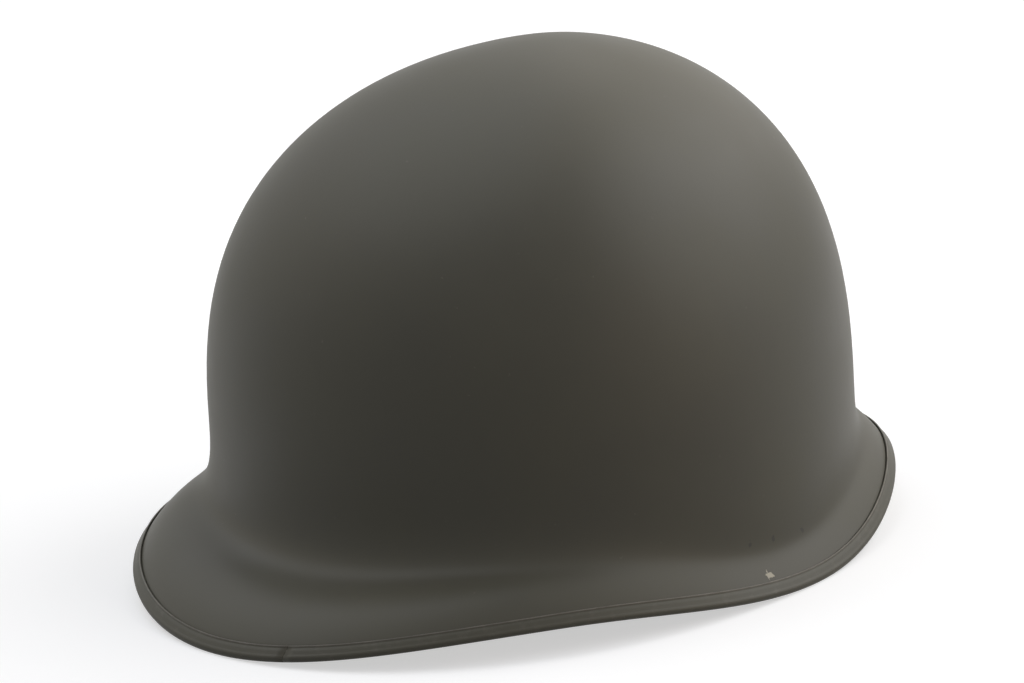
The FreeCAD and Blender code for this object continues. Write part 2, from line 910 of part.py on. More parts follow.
def crown_lace():
    """A tied ring of cord with a knot between the two rear straps and two short tails."""
    corners = lace_corners()
    ring = wire_ring(corners, lace_corner, lace_thickness / 2)
    rear = max(corners, key=lambda corner: corner.y)
    inset = lace_corner * (1 / cosine(full_turn / (2 * len(corners))) - 1)
    root = rear - Vector(0, inset, 0)
    hang = lace_hole() + web_thickness + knot_radius
    knot_centre = root - up * hang
    neck = Part.makeCylinder(lace_thickness / 2, hang, knot_centre, up)
    knot = Part.makeSphere(knot_radius, knot_centre)
    tails = []
    for side in (-1, 1):
        way = Vector(side * sine(lace_tail_lean), -sine(lace_tail_lean), -cosine(lace_tail_lean))
        tails.append(Part.makeCylinder(lace_thickness / 2, lace_tail, knot_centre, way))
    return ring.fuse([neck, knot] + tails)


# Nape webs

def nape_offset(angle):
    share = (abs(angle) - nape_angle) / (half_turn - nape_angle)
    return between(nape_seat, nape_bow, (1 - cosine(half_turn * share)) / 2)


def nape_band():
    """An open band round the back of the neck, with its ends on the wall."""
    end_lap = round_washer_radius + web_thickness
    end_angle = nape_angle - math.degrees(end_lap / wall_half_width)
    turns = [between(end_angle, full_turn - end_angle, step / nape_steps)
             for step in range(nape_steps + 1)]

    def place(angle, extra):
        swung = abs((angle + half_turn) % full_turn - half_turn)
        offset = nape_seat if swung < nape_angle else nape_offset(swung)
        point = inside_point(angle, nape_low + nape_height, offset + extra)
        return Vector(point.x, point.y, nape_low)
    outer = [place(turn, 0) for turn in turns]
    inner = [place(turn, web_thickness) for turn in turns]
    face = profile_face([spline_edge(outer), spline_edge(inner),
                         Part.makeLine(outer[0], inner[0]), Part.makeLine(outer[-1], inner[-1])])
    band = face.extrude(up * nape_height)
    return drilled(band, both_sides((nape_angle,)), nape_rivet_height)


def nape_centre_strap():
    """A web from the rear rivet down to a loop that the nape band runs through."""
    rear = upright_frame(half_turn, nape_centre_rivet_height).Base
    band = inside_point(half_turn, nape_low + nape_height, nape_bow)
    out = rear.y - band.y
    play = clip_play
    web = web_thickness
    loop_out = out - play
    loop_in = out + web + play
    low = nape_low - play - nape_centre_rivet_height
    high = nape_low + nape_height + play - nape_centre_rivet_height
    top = nape_tab_top - nape_centre_rivet_height
    knee = high + web
    seat = nape_seat
    loop = [(low - web, loop_out - web), (knee, loop_out - web), (knee, loop_in + web),
            (low - web, loop_in + web)]
    hole = [(low, loop_out), (high, loop_out), (high, loop_in), (low, loop_in)]
    tab = [(top, seat), (top, seat + web), (knee + web, seat + web), (knee, loop_out),
           (knee - web, loop_out - web), (knee, seat)]
    half = nape_tab_width / 2

    def slab(outline):
        section = polygon_face([Vector(-half, y, z) for y, z in outline])
        return section.extrude(Vector(nape_tab_width, 0, 0))
    strap = slab(loop).cut(slab(hole)).fuse(slab(tab)).removeSplitter()
    hung = upright(strap, half_turn, nape_centre_rivet_height)
    return drilled(hung, (half_turn,), nape_centre_rivet_height)


# Hand-out of the pieces

def crown_strap_name(angle):
    side = "left" if angle > 0 else "right"
    place = ("front", "side", "rear")[washer_angles.index(abs(angle))]
    return f"crown_strap_{place}_{side}"


def pieces():
    left_lug = loop_lug()
    left_loop = strap_loop()
    found = {
        "steel_shell": steel_shell(),
        "rim_strip": rim_strip(),
        "left_loop_lug": left_lug,
        "right_loop_lug": mirrored(left_lug),
        "left_strap_loop": left_loop,
        "right_strap_loop": mirrored(left_loop),
        "liner_shell": liner_shell(),
        "suspension_rivets": suspension_rivets(),
        "suspension_washers": suspension_washers(),
        "headband_web": headband_web(),
        "crown_lace": crown_lace(),
        "sweatband": sweatband(),
        "sweatband_clips": sweatband_clips(),
        "sweatband_buckle": sweatband_buckle(),
        "nape_band": nape_band(),
        "nape_centre_strap": nape_centre_strap(),
        "nape_rivets": nape_rivets(),
        "nape_washers": nape_washers(),
        "liner_strap_studs": liner_strap_studs(),
        "front_eyelet": front_eyelet(),
    }
    for angle in both_sides(washer_angles):
        found[crown_strap_name(angle)] = crown_strap(angle)
    return found


def main():
    found = pieces()
    groups = {name: made if isinstance(made, list) else [made] for name, made in found.items()}
    ground = min(shape.optimalBoundingBox(False, False).ZMin for shape in groups["rim_strip"])
    os.makedirs("parts", exist_ok=True)
    for name, shapes in groups.items():
        node = shapes[0] if len(shapes) == 1 else Part.makeCompound(shapes)
        node = node.copy()
        node.translate(Vector(0, 0, -ground))
        node.exportStep(f"parts/{name}.step")
        box = node.BoundBox
        print(name, node.isValid(), len(node.Solids), round(node.Volume),
              [round(value, 1) for value in (box.XMin, box.XMax, box.YMin, box.YMax, box.ZMin, box.ZMax)])


if __name__ == "__main__":
    main()
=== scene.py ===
import math
from functools import partial

import bmesh
import bpy
from bpy.props import FloatProperty, PointerProperty, StringProperty
from mathutils import Matrix, Vector


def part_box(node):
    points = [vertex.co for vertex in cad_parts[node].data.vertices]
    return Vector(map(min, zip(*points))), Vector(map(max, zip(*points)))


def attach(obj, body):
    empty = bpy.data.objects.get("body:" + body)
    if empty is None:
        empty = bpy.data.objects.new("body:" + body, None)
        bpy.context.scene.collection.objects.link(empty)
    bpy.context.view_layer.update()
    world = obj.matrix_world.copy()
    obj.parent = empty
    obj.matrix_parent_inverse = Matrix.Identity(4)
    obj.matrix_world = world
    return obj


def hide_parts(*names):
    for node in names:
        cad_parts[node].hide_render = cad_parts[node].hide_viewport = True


bl_info = {
    "name": "Steel combat helmet",
    "version": (1, 0, 0),
    "blender": (4, 5, 0),
    "location": "3D View > Sidebar > Helmet",
    "description": "Pressed bowls, folded rim, webs, lace, leather and paint of a packed helmet",
    "category": "Object",
}

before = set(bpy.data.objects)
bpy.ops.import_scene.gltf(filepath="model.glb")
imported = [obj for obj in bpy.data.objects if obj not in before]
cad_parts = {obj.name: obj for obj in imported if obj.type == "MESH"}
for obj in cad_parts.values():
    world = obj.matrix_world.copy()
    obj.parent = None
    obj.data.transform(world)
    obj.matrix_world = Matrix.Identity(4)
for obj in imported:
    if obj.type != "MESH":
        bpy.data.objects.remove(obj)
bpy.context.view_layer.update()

# Turns in degrees
QUARTER, HALF, FULL = 90.0, 180.0, 360.0
UP = Vector((0, 0, 1))
ACROSS = Vector((1, 0, 0))
MM = 0.001


# Sizes and colours

def length(name, description, default):
    return FloatProperty(name=name, description=description, default=default, unit="LENGTH",
                         precision=5)


def plain(name, description, default):
    """An angle in degrees or a share, which has no unit of its own here."""
    return FloatProperty(name=name, description=description, default=default)


def colour(name, description, default):
    return StringProperty(name=name, description=description, default=default)


class HelmetSizes(bpy.types.PropertyGroup):
    """Sizes of the pressed bowls, which the CAD part shares."""
    rim_half_width: length("Rim half width", "Middle to rim at the side", 0.12)
    rim_front_reach: length("Rim front reach", "Middle to rim at the visor", 0.1525)
    rim_rear_reach: length("Rim rear reach", "Middle to rim at the rear", 0.1355)
    temple_angle: plain("Temple angle", "Where the rim rises between visor and ear", 54.0)
    temple_rise: length("Temple rise", "Rise of the rim there", 0.009)
    ear_angle: plain("Ear angle", "Where the rim touches the table", 97.0)
    rear_quarter_angle: plain("Rear quarter angle", "Where it is highest behind the ear", 145.0)
    rear_quarter_rise: length("Rear quarter rise", "Rise of the rim there", 0.016)
    rear_rise: length("Rear rise", "Rise of the rim at the rear", 0.012)
    wall_half_width: length("Wall half width", "Middle to the wall's foot at the side", 0.1095)
    wall_front_reach: length("Wall front reach", "Middle to the wall's foot in front", 0.1055)
    wall_rear_reach: length("Wall rear reach", "Middle to the wall's foot behind", 0.1245)
    brim_front_height: length("Brim height, front", "Height of the flare in front", 0.042)
    brim_side_height: length("Brim height, side", "Height of the flare at the side", 0.029)
    brim_rear_height: length("Brim height, rear", "Height of the flare behind", 0.031)
    visor_slope: plain("Visor slope", "Slope of the visor's edge", 51.0)
    flare_slope: plain("Flare slope", "Slope of the rear edge", 56.0)
    wall_hold: plain("Wall hold", "How long the flare keeps the wall's line", 0.69)
    flare_hold: plain("Flare hold", "How long the flare keeps the edge's line", 0.62)
    crown_height: length("Crown height", "Crown over the lowest rim", 0.171)
    crown_setback: length("Crown setback", "Crown behind the middle", 0.0215)
    crown_fullness: plain("Crown fullness", "Power of the section", 2.6)
    steel_thickness: length("Steel thickness", "Drawn manganese steel", 0.0011)
    strip_thickness: length("Strip thickness", "Folded edge strip", 0.0005)
    strip_leg: length("Strip leg", "Height of the folded strip", 0.0056)
    strip_fit: length("Strip fit", "Gap between strip and bowl", 0.00025)
    bead_radius: length("Bead radius", "Fold of the strip", 0.00145)
    seam_angle: plain("Seam angle", "Where the strip's ends meet", 14.0)
    seam_width: length("Seam width", "Gap between the strip's ends", 0.0004)
    liner_thickness: length("Liner thickness", "Pressed fibre", 0.0022)
    liner_wall_gap: length("Liner wall gap", "Gap to the steel at the wall", 0.0029)
    liner_crown_gap: length("Liner crown gap", "Gap to the steel at the crown", 0.0003)
    liner_setback: length("Liner setback", "Liner's edge inside the rim", 0.01)
    lug_angle: plain("Lug angle", "Where the strap loops hang", 93.0)
    liner_ear_relief: length("Liner relief", "Rise of its edge over the lug", 0.016)
    liner_ear_window: plain("Liner window", "Half spread of that rise", 45.0)
    eyelet_height: length("Eyelet height", "Front eyelet over the rim", 0.096)
    eyelet_hole: length("Eyelet hole", "Radius of its hole in the liner", 0.0027)


class SuspensionSizes(bpy.types.PropertyGroup):
    """Sizes of the webs, the lace and the sweatband, which the CAD part shares."""
    web_thickness: length("Web thickness", "Herringbone web", 0.0014)
    headband_low: length("Headband height", "Its lower edge over the rim", 0.041)
    headband_height: length("Headband width", "Width of its web", 0.025)
    headband_seat: length("Headband seat", "Gap to the wall at a washer", 0.0025)
    headband_bow: length("Headband bow", "Gap to the wall between washers", 0.014)
    strap_web_width: length("Strap width", "Width of a crown strap", 0.019)
    washer_height: length("Washer height", "Washers over the rim", 0.061)
    washer_bar_rise: length("Bar rise", "Washer's bar over its rivet", 0.011)
    washer_bar_offset: length("Bar offset", "Washer's bar off the wall", 0.0058)
    washer_bar_radius: length("Bar radius", "Washer's bar", 0.0009)
    suspension_centre: length("Suspension centre", "Behind the middle", 0.018)
    lace_radius: length("Lace radius", "Ring that the lace is pulled into", 0.022)
    lace_height: length("Lace height", "Lace over the rim", 0.137)
    lace_thickness: length("Lace thickness", "Cotton cord", 0.003)
    knot_radius: length("Knot radius", "Knot of the lace", 0.0032)
    lace_tail: length("Lace tail", "Length of its two tails", 0.014)
    lace_tail_lean: plain("Tail lean", "How far the tails spread", 25.0)
    eye_play: length("Eye play", "Room round the bar in a strap's eye", 0.0013)
    lace_play: length("Lace play", "Room round the lace in a strap's eye", 0.0002)
    strap_fold: length("Strap fold", "Length sewn back at each end", 0.012)
    sweatband_thickness: length("Sweatband thickness", "Leather", 0.0018)
    sweatband_height: length("Sweatband width", "Width of the leather", 0.034)
    sweatband_low: length("Sweatband height", "Its lower edge over the rim", 0.039)
    sweatband_depth: length("Sweatband depth", "Off the liner's wall", 0.0166)
    nape_angle: plain("Nape angle", "Where the nape band is riveted", 127.0)
    nape_low: length("Nape height", "Its lower edge over the rim", 0.0175)
    nape_height: length("Nape width", "Width of its web", 0.019)
    nape_seat: length("Nape seat", "Gap to the wall at its ends", 0.0009)
    nape_bow: length("Nape bow", "Gap to the wall in the middle", 0.017)
    nape_tab_width: length("Tab width", "Width of the centre strap", 0.016)
    nape_tab_top: length("Tab top", "Upper end of the centre strap", 0.055)
    nape_rivet: length("Tab rivet", "Height of the rear rivet", 0.049)


class HelmetColours(bpy.types.PropertyGroup):
    """Colours of the finishes, as sRGB hex values."""
    paint: colour("Paint", "Olive enamel", "#46443a")
    paint_light: colour("Paint, faded", "Enamel where it is dusty", "#4c4a3f")
    primer: colour("Primer", "Where the enamel is chipped", "#b9b3a0")
    # Also used for the dust specks and for the strip's lighter lip, which is partly a painted
    # highlight
    wear_and_highlight: colour("Wear", "Enamel rubbed thin on an edge", "#77736a")
    blackened: colour("Blackened steel", "Phosphated steel", "#35342f")
    bright: colour("Bright steel", "Steel rubbed bare", "#8e8b84")
    fibre: colour("Fibre", "Resin-soaked duck", "#6a6244")
    web: colour("Web", "Olive cotton web", "#7d7654")
    web_dark: colour("Web shade", "Between the threads", "#4d4832")
    cord: colour("Cord", "Cotton cord", "#8d8564")
    leather: colour("Leather", "Russet sweatband", "#6b4226")
    leather_dark: colour("Leather shade", "Pores and creases", "#3a2113")
    thread: colour("Thread", "Sewing thread", "#a39a75")
    floor: colour("Floor", "Pale studio floor", "#cbcbca")
    floor_shade: colour("Floor, shaded", "Where the paper is uneven", "#bebebd")
    floor_unseen: colour("Floor, unseen", "In the light that it throws back", "#5c5c5a")


def cosine(angle):
    return math.cos(math.radians(angle))


def sine(angle):
    return math.sin(math.radians(angle))


def between(low, high, part):
    return low + (high - low) * part


def swung(angle):
    """An angle's size, from 0 at the front to 180 at the rear."""
    return abs((angle + HALF) % FULL - HALF)


# The helmet's form

class HelmetForm:
    """The bowl's skin, from 0 at the rim over 1 at the wall's foot to 2 at the crown."""
    probe_share = 0.002
    probe_angle = 0.2
    walk_steps = 60

    def __init__(self, *groups):
        for group in groups:
            for name in group.__annotations__:
                setattr(self, name, getattr(group, name))
        self.shift = (self.rim_front_reach - self.rim_rear_reach) / 2
        self.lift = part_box("steel_shell")[1].z - self.crown_height

    def ring_point(self, angle, half_width, front_reach, rear_reach):
        mean = (front_reach + rear_reach) / 2
        skew = (rear_reach - front_reach) / 2
        along = skew * cosine(angle) ** 2 - mean * cosine(angle)
        return Vector((half_width * sine(angle), self.shift + along, self.lift))

    def rim_height(self, angle):
        turned = swung(angle)
        stations = ((0, 0), (self.temple_angle, self.temple_rise), (self.ear_angle, 0),
                    (self.rear_quarter_angle, self.rear_quarter_rise), (HALF, self.rear_rise))
        for (start, low), (end, high) in zip(stations, stations[1:]):
            if turned <= end:
                part = (turned - start) / (end - start)
                return between(low, high, (1 - cosine(HALF * part)) / 2)

    def brim_height(self, angle):
        front, side, rear = self.brim_front_height, self.brim_side_height, self.brim_rear_height
        return ((front + rear + 2 * side) / 4 + (front - rear) / 2 * cosine(angle)
                + (front + rear - 2 * side) / 4 * cosine(2 * angle))

    def rim_point(self, angle):
        rim = self.ring_point(angle, self.rim_half_width, self.rim_front_reach,
                              self.rim_rear_reach)
        return rim + UP * self.rim_height(angle)

    def wall_foot(self, angle):
        foot = self.ring_point(angle, self.wall_half_width, self.wall_front_reach,
                               self.wall_rear_reach)
        return foot + UP * (self.rim_height(angle) + self.brim_height(angle))

    def crown_point(self):
        return Vector((0, self.shift + self.crown_setback, self.crown_height + self.lift))

    def skin_point(self, angle, level):
        foot = self.wall_foot(angle)
        if level > 1:
            crown = self.crown_point()
            flat = crown + (foot - crown) * cosine(QUARTER * (level - 1))
            rise = sine(QUARTER * (level - 1)) ** (2 / self.crown_fullness)
            return Vector((flat.x, flat.y, between(foot.z, crown.z, rise)))
        rim = self.rim_point(angle)
        reach = (rim - foot).length
        outward = Vector((rim.x - foot.x, rim.y - foot.y, 0)).normalized()
        slope = between(self.flare_slope, self.visor_slope, (1 + cosine(angle)) / 2)
        foot_handle = foot - UP * (reach * self.wall_hold)
        rim_handle = rim - (outward * cosine(slope) - UP * sine(slope)) * (reach * self.flare_hold)
        rest = 1 - level
        return (rim * rest ** 3 + rim_handle * (3 * rest ** 2 * level)
                + foot_handle * (3 * rest * level ** 2) + foot * level ** 3)

    def skin_normal(self, angle, level):
        low = max(level - self.probe_share, 0)
        high = min(level + self.probe_share, 2 - self.probe_share)
        round_way = (self.skin_point(angle + self.probe_angle, level)
                     - self.skin_point(angle - self.probe_angle, level))
        up_way = self.skin_point(angle, high) - self.skin_point(angle, low)
        return round_way.cross(up_way).normalized()

    def under_skin(self, angle, level, depth):
        return self.skin_point(angle, level) - self.skin_normal(angle, level) * depth

    def level_at_distance(self, angle, distance):
        walked = 0
        last = self.skin_point(angle, 0)
        for step in range(1, self.walk_steps + 1):
            here = self.skin_point(angle, step / self.walk_steps)
            stride = (here - last).length
            if walked + stride >= distance:
                return (step - 1 + (distance - walked) / stride) / self.walk_steps
            walked += stride
            last = here
        return 1

    def level_at_height(self, angle, height):
        low, high = 0, 2
        for _ in range(self.walk_steps):
            middle = (low + high) / 2
            if self.skin_point(angle, middle).z < height:
                low = middle
            else:
                high = middle
        return low

    def liner_outer_depth(self, level):
        spread = cosine(QUARTER * max(level - 1, 0))
        return self.steel_thickness + between(self.liner_crown_gap, self.liner_wall_gap, spread)

    def liner_inner_depth(self, level):
        return self.liner_outer_depth(level) + self.liner_thickness

    def liner_edge(self, angle):
        from_lug = abs(swung(angle) - self.lug_angle)
        relief = 0
        if from_lug < self.liner_ear_window:
            relief = (1 + cosine(HALF * from_lug / self.liner_ear_window)) / 2
        return self.liner_setback + self.liner_ear_relief * relief

    def level_normal(self, angle, level):
        normal = self.skin_normal(angle, level)
        return Vector((normal.x, normal.y, 0)).normalized()

    def inside_point(self, angle, height, offset):
        """A point that stands off the liner's inner wall, level with a height."""
        level = self.level_at_height(angle, height)
        depth = self.liner_inner_depth(level) + offset
        flat = self.skin_point(angle, level) - self.level_normal(angle, level) * depth
        return Vector((flat.x, flat.y, height))

    def wall_place(self, angle, height, across, upwards, inward):
        """A place given from the liner's inner wall: across it, up it and off it."""
        level = self.level_at_height(angle, height)
        inner = -self.skin_normal(angle, level)
        sideways = UP.cross(inner).normalized()
        origin = self.under_skin(angle, level, self.liner_inner_depth(level))
        return origin + sideways * across + inner.cross(sideways) * upwards + inner * inward


def form():
    scene = bpy.context.scene
    return HelmetForm(scene.helmet_sizes, scene.suspension_sizes)


# Working by hand: small steps with Blender's own tools

def deselect():
    bpy.ops.object.select_all(action="DESELECT")


def take_up(piece):
    deselect()
    piece.select_set(True)
    bpy.context.view_layer.objects.active = piece


def drawn(name, rows, cap_ends=False, pole=None, closing=False, uv=False):
    """A skin drawn from its first ring: each next one is extruded and moved to its place."""
    count = len(rows[0])
    deselect()
    bpy.ops.mesh.primitive_circle_add(vertices=count, radius=1, calc_uvs=False)
    piece = bpy.context.object
    piece.name = name
    mesh = piece.data
    bpy.ops.object.mode_set(mode="EDIT")
    grid = [list(range(count))]
    for number, row in enumerate(rows):
        if number:
            bpy.ops.mesh.extrude_edges_move()
        bm = bmesh.from_edit_mesh(mesh)
        bm.verts.index_update()
        bm.verts.ensure_lookup_table()
        if number:
            last = [bm.verts[index] for index in grid[-1]]
            grid.append([next(edge.other_vert(vert).index for edge in vert.link_edges
                              if edge.other_vert(vert).select) for vert in last])
        for index, point in zip(grid[-1], row):
            bm.verts[index].co = point
        bmesh.update_edit_mesh(mesh)
        if number == 0 and cap_ends:
            bpy.ops.mesh.edge_face_add()
            bpy.ops.mesh.select_all(action="SELECT")
    if cap_ends:
        bpy.ops.mesh.edge_face_add()
    if pole is not None:
        bpy.ops.mesh.extrude_edges_move()
        bpy.ops.mesh.merge(type="CENTER")
        bm = bmesh.from_edit_mesh(mesh)
        for vert in bm.verts:
            if vert.select:
                vert.co = pole
        bmesh.update_edit_mesh(mesh)
    bpy.ops.object.mode_set(mode="OBJECT")
    if uv:
        lay_uv(mesh, grid, rows)
    bpy.ops.object.mode_set(mode="EDIT")
    bpy.ops.mesh.select_all(action="SELECT")
    if closing:
        bpy.ops.mesh.remove_doubles(threshold=0.01 * MM)
    bpy.ops.mesh.normals_make_consistent(inside=False)
    bpy.ops.object.mode_set(mode="OBJECT")
    bpy.ops.object.shade_smooth()
    return piece


def lay_uv(mesh, grid, rows):
    """Unrolls the skin in metres: U runs along the rows, V across them."""
    count = len(rows[0])
    middle = [sum(row, Vector()) / count for row in rows]
    along = [0.0]
    for here, there in zip(middle, middle[1:]):
        along.append(along[-1] + (there - here).length)
    across = [0.0]
    for step in range(count):
        across.append(across[-1] + (rows[0][(step + 1) % count] - rows[0][step]).length)
    places = {index: (row, column) for row, indices in enumerate(grid)
              for column, index in enumerate(indices)}
    layer = mesh.uv_layers.new(name="cloth")
    for face in mesh.polygons:
        columns = [places[index][1] for index in face.vertices if index in places]
        wraps = len(columns) == 4 and max(columns) - min(columns) > 1
        for loop in face.loop_indices:
            row, column = places.get(mesh.loops[loop].vertex_index, (0, 0))
            if wraps and column == 0:
                column = count
            layer.data[loop].uv = (along[row], across[column])


def modify(piece, kind, **settings):
    take_up(piece)
    modifier = piece.modifiers.new(kind.title(), kind)
    for name, value in settings.items():
        setattr(modifier, name, value)
    bpy.ops.object.modifier_apply(modifier=modifier.name)
    return piece


def joined(pieces):
    """Several pieces made one, under the first one's name."""
    take_up(pieces[0])
    for piece in pieces:
        piece.select_set(True)
    bpy.ops.object.join()
    return pieces[0]


def coat(piece, finish):
    piece.data.materials.clear()
    piece.data.materials.append(finish_of(finish))


def dress(piece, finish, body, slot, *nodes):
    """Gives a piece its finish and its body, and hides the CAD nodes that it stands for. Its slot
    is not used.
    """
    coat(piece, finish)
    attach(piece, body)
    if nodes:
        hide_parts(*nodes)


def even_angles(count, start=0.0, sweep=FULL):
    return [start + sweep * step / count for step in range(count + 1)]


# Materials

# A wave texture of scale 1 repeats after this length
WAVE_LENGTH = math.tau / 20

# A mix node's sockets for colours, which share their names with its other kinds
FIRST, SECOND, MIXED = 6, 7, 2

# A chip down to the primer and the three marks of the loop's spot welds, with radii in mm
CHIPS = (((0.1151, 0.0040, 0.0078), 1.7, "primer"), ((0.1094, 0.0005, 0.0182), 0.7, "blackened"),
         ((0.1096, 0.0125, 0.0170), 0.6, "blackened"), ((0.1086, 0.0290, 0.0152), 0.7, "blackened"))
CHIP_RAGGEDNESS = 1.1 * MM
CHIP_EDGE = 0.3

# The strip's upper lip is painted lighter between these distances across its section: partly paint
# worn off, partly a painted highlight where the lip catches the light
LIP_WEAR_AND_HIGHLIGHT_START, LIP_WEAR_AND_HIGHLIGHT_END = 0.5 * MM, 0.9 * MM

# The floor's own light where it is seen, which keeps the paper white round the shadow
FLOOR_GLOW = 0.55


def linear(hex_value):
    """An sRGB hex value as linear colour."""
    parts = [int(hex_value[place:place + 2], 16) / 255 for place in (1, 3, 5)]
    return [part / 12.92 if part <= 0.04045 else ((part + 0.055) / 1.055) ** 2.4
            for part in parts] + [1]


def tint(name):
    return linear(getattr(bpy.context.scene.helmet_colours, name))


def per_metre(size_mm):
    """The scale at which a pattern repeats once in a size in millimetres."""
    return 1 / (size_mm * MM)


def add_node(tree, kind, inputs=(), output=0, **settings):
    """A shader node with its settings and inputs, each a value or a socket; returns an output."""
    node = tree.nodes.new("ShaderNode" + kind)
    for name, value in settings.items():
        setattr(node, name, value)
    for name, value in inputs.items() if isinstance(inputs, dict) else enumerate(inputs):
        if isinstance(value, bpy.types.NodeSocket):
            tree.links.new(value, node.inputs[name])
        else:
            node.inputs[name].default_value = value
    return node.outputs[output]


def new_material(name, **values):
    """A material with its shader's plain values set, the way to add its nodes, and its place."""
    made = bpy.data.materials.new(name)
    made.use_nodes = True
    for key, value in values.items():
        shader_of(made)[key.replace("_", " ")].default_value = value
    node = partial(add_node, made.node_tree)
    return made, node, node("TexCoord", output="Object")


def shader_of(made):
    return made.node_tree.nodes["Principled BSDF"].inputs


def finished(made, node, ground, coats, gloss, relief):
    """Lays each coat's colour over the ground where its mask says, then gloss and relief."""
    tree = made.node_tree
    shader = shader_of(made)
    tone = tint(ground)
    for mask, shade in coats:
        tone = node("Mix", {0: mask, FIRST: tone, SECOND: tint(shade)}, MIXED, data_type="RGBA")
    tree.links.new(tone, shader["Base Color"])
    if gloss:
        pattern, low, high = gloss
        tree.links.new(node("MapRange", (pattern, 0.3, 0.7, low, high)), shader["Roughness"])
    height, distance, strength = relief
    bump = node("Bump", {"Height": height, "Distance": distance, "Strength": strength})
    tree.links.new(bump, shader["Normal"])
    return made


def olive_enamel(name, rubbed):
    """Satin alkyd enamel sprayed on drawn steel: soft sheen, fine orange peel, dust and chips."""
    made, node, place = new_material(name, IOR=1.5, Specular_IOR_Level=0.3)
    # It fades in clouds of 45 mm, its orange peel is 1.6 mm wide and its dust specks 2.4 mm
    cloud = node("TexNoise", {"Vector": place, "Scale": per_metre(45), "Detail": 3})
    peel = node("TexNoise", {"Vector": place, "Scale": per_metre(1.6), "Detail": 3})
    dust = node("TexNoise", {"Vector": place, "Scale": per_metre(2.4), "Detail": 4,
                             "Roughness": 0.6})
    coats = [(node("MapRange", (cloud, 0.35, 0.7)), "paint_light"),
             (node("MapRange", (dust, 0.71, 0.78, 0, 0.35)), "wear_and_highlight")]
    if rubbed:
        # The lip is painted lighter in strokes of 5 mm: partly worn paint, partly a painted
        # highlight along its edge
        folded = node("TexCoord", output="UV")
        across = node("SeparateXYZ", (folded,), "Y")
        stroke = node("TexNoise", {"Vector": place, "Scale": per_metre(5), "Detail": 4,
                                   "Roughness": 0.65})
        lip = node("MapRange", (across, LIP_WEAR_AND_HIGHLIGHT_END, LIP_WEAR_AND_HIGHLIGHT_START))
        strokes = node("MapRange", (stroke, 0.3, 0.65, 0.4, 1))
        coats += [(node("Math", (lip, strokes), operation="MULTIPLY"), "wear_and_highlight"),
                  (node("MapRange", (stroke, 0.55, 0.75, 0, 0.2)), "wear_and_highlight")]
    for centre, radius, shade in CHIPS:
        away = node("VectorMath", (place, centre), "Value", operation="DISTANCE")
        torn = node("MapRange", (peel, 0.3, 0.7, -CHIP_RAGGEDNESS, CHIP_RAGGEDNESS))
        ragged = node("Math", (away, torn), operation="ADD")
        inside = (ragged, radius * MM, (radius - CHIP_EDGE) * MM, 0, 0.8)
        coats.append((node("MapRange", inside), shade))
    return finished(made, node, "paint", coats, (cloud, 0.46, 0.54), (peel, 0.02 * MM, 0.6))


def phosphated_steel(name, rub_from):
    """Phosphated steel: a dull dark grey crystal skin, rubbed down to brighter metal in spots."""
    made, node, place = new_material(name, Metallic=0.8)
    # Crystals of .8 mm and rubbed spots of 6 mm
    grain = node("TexNoise", {"Vector": place, "Scale": per_metre(0.8), "Detail": 4})
    rub = node("TexNoise", {"Vector": place, "Scale": per_metre(6), "Detail": 3})
    bare = node("MapRange", (rub, rub_from, rub_from + 0.3, 0, 0.8))
    return finished(made, node, "blackened", [(bare, "bright")], (grain, 0.42, 0.6),
                    (grain, 0.01 * MM, 1))


def duck_fibre():
    """Cotton duck soaked in resin and pressed: the cloth still shows under a thin hard gloss."""
    made, node, place = new_material("resin_duck_fibre", IOR=1.55)
    # The threads lie about 1 mm apart and are drawn 2.5 mm apart, so that they show
    weave = 0
    for direction in ("X", "Y", "Z"):
        thread = node("TexWave", {
            "Vector": place, "Scale": per_metre(2.5) * WAVE_LENGTH, "Distortion": 1.5},
            "Fac", bands_direction=direction)
        weave = node("Math", (weave, thread), operation="ADD")
    # The resin soaked in unevenly, in clouds of 30 mm
    cloud = node("TexNoise", {"Vector": place, "Scale": per_metre(30), "Detail": 4})
    soaked = node("MapRange", (cloud, 0.3, 0.7, 0, 0.35))
    return finished(made, node, "fibre", [(soaked, "web_dark")], (cloud, 0.38, 0.55),
                    (weave, 0.05 * MM, 1))


def cotton_web(name, shade, pitch_mm):
    """Herringbone cotton web: slanted ribs that turn back in lengthwise bands."""
    made, node, place = new_material(name, Roughness=0.9, Sheen_Weight=0.3)
    # A rib every pitch, threads half a pitch apart and bands four pitches wide
    pitch = pitch_mm * MM
    cloth = node("TexCoord", output="UV")
    along = node("SeparateXYZ", (cloth,), "X")
    across = node("SeparateXYZ", (cloth,), "Y")
    band = node("Math", (across, 4 * pitch), operation="PINGPONG")
    slanted = node("Math", (along, band), operation="ADD")
    ribs = []
    for pattern, half in ((slanted, pitch / 2), (across, pitch / 4)):
        wave = node("Math", (pattern, half), operation="PINGPONG")
        ribs.append(node("MapRange", (wave, 0, half)))
    weave = node("Math", ribs, operation="MULTIPLY")
    # Soiled in clouds of 14 mm
    cloud = node("TexNoise", {"Vector": place, "Scale": per_metre(14), "Detail": 4})
    coats = [(node("MapRange", (weave, 0, 0.6)), shade),
             (node("MapRange", (cloud, 0.3, 0.8, 0, 0.4)), "web_dark")]
    return finished(made, node, "web_dark", coats, None, (weave, 0.15 * MM, 1))


def waxed_thread():
    """Waxed cotton sewing thread: pale twisted plies with dark between them and a faint shine."""
    made, node, place = new_material("waxed_cotton_thread", Roughness=0.75, Sheen_Weight=0.2)
    # Two plies of .25 mm, laid slantwise
    ply = node("TexWave", {
        "Vector": place, "Scale": per_metre(0.25) * WAVE_LENGTH, "Distortion": 0.5},
        "Fac", bands_direction="DIAGONAL")
    return finished(made, node, "web_dark", [(node("MapRange", (ply, 0, 0.5)), "thread")],
                    None, (ply, 0.03 * MM, 1))


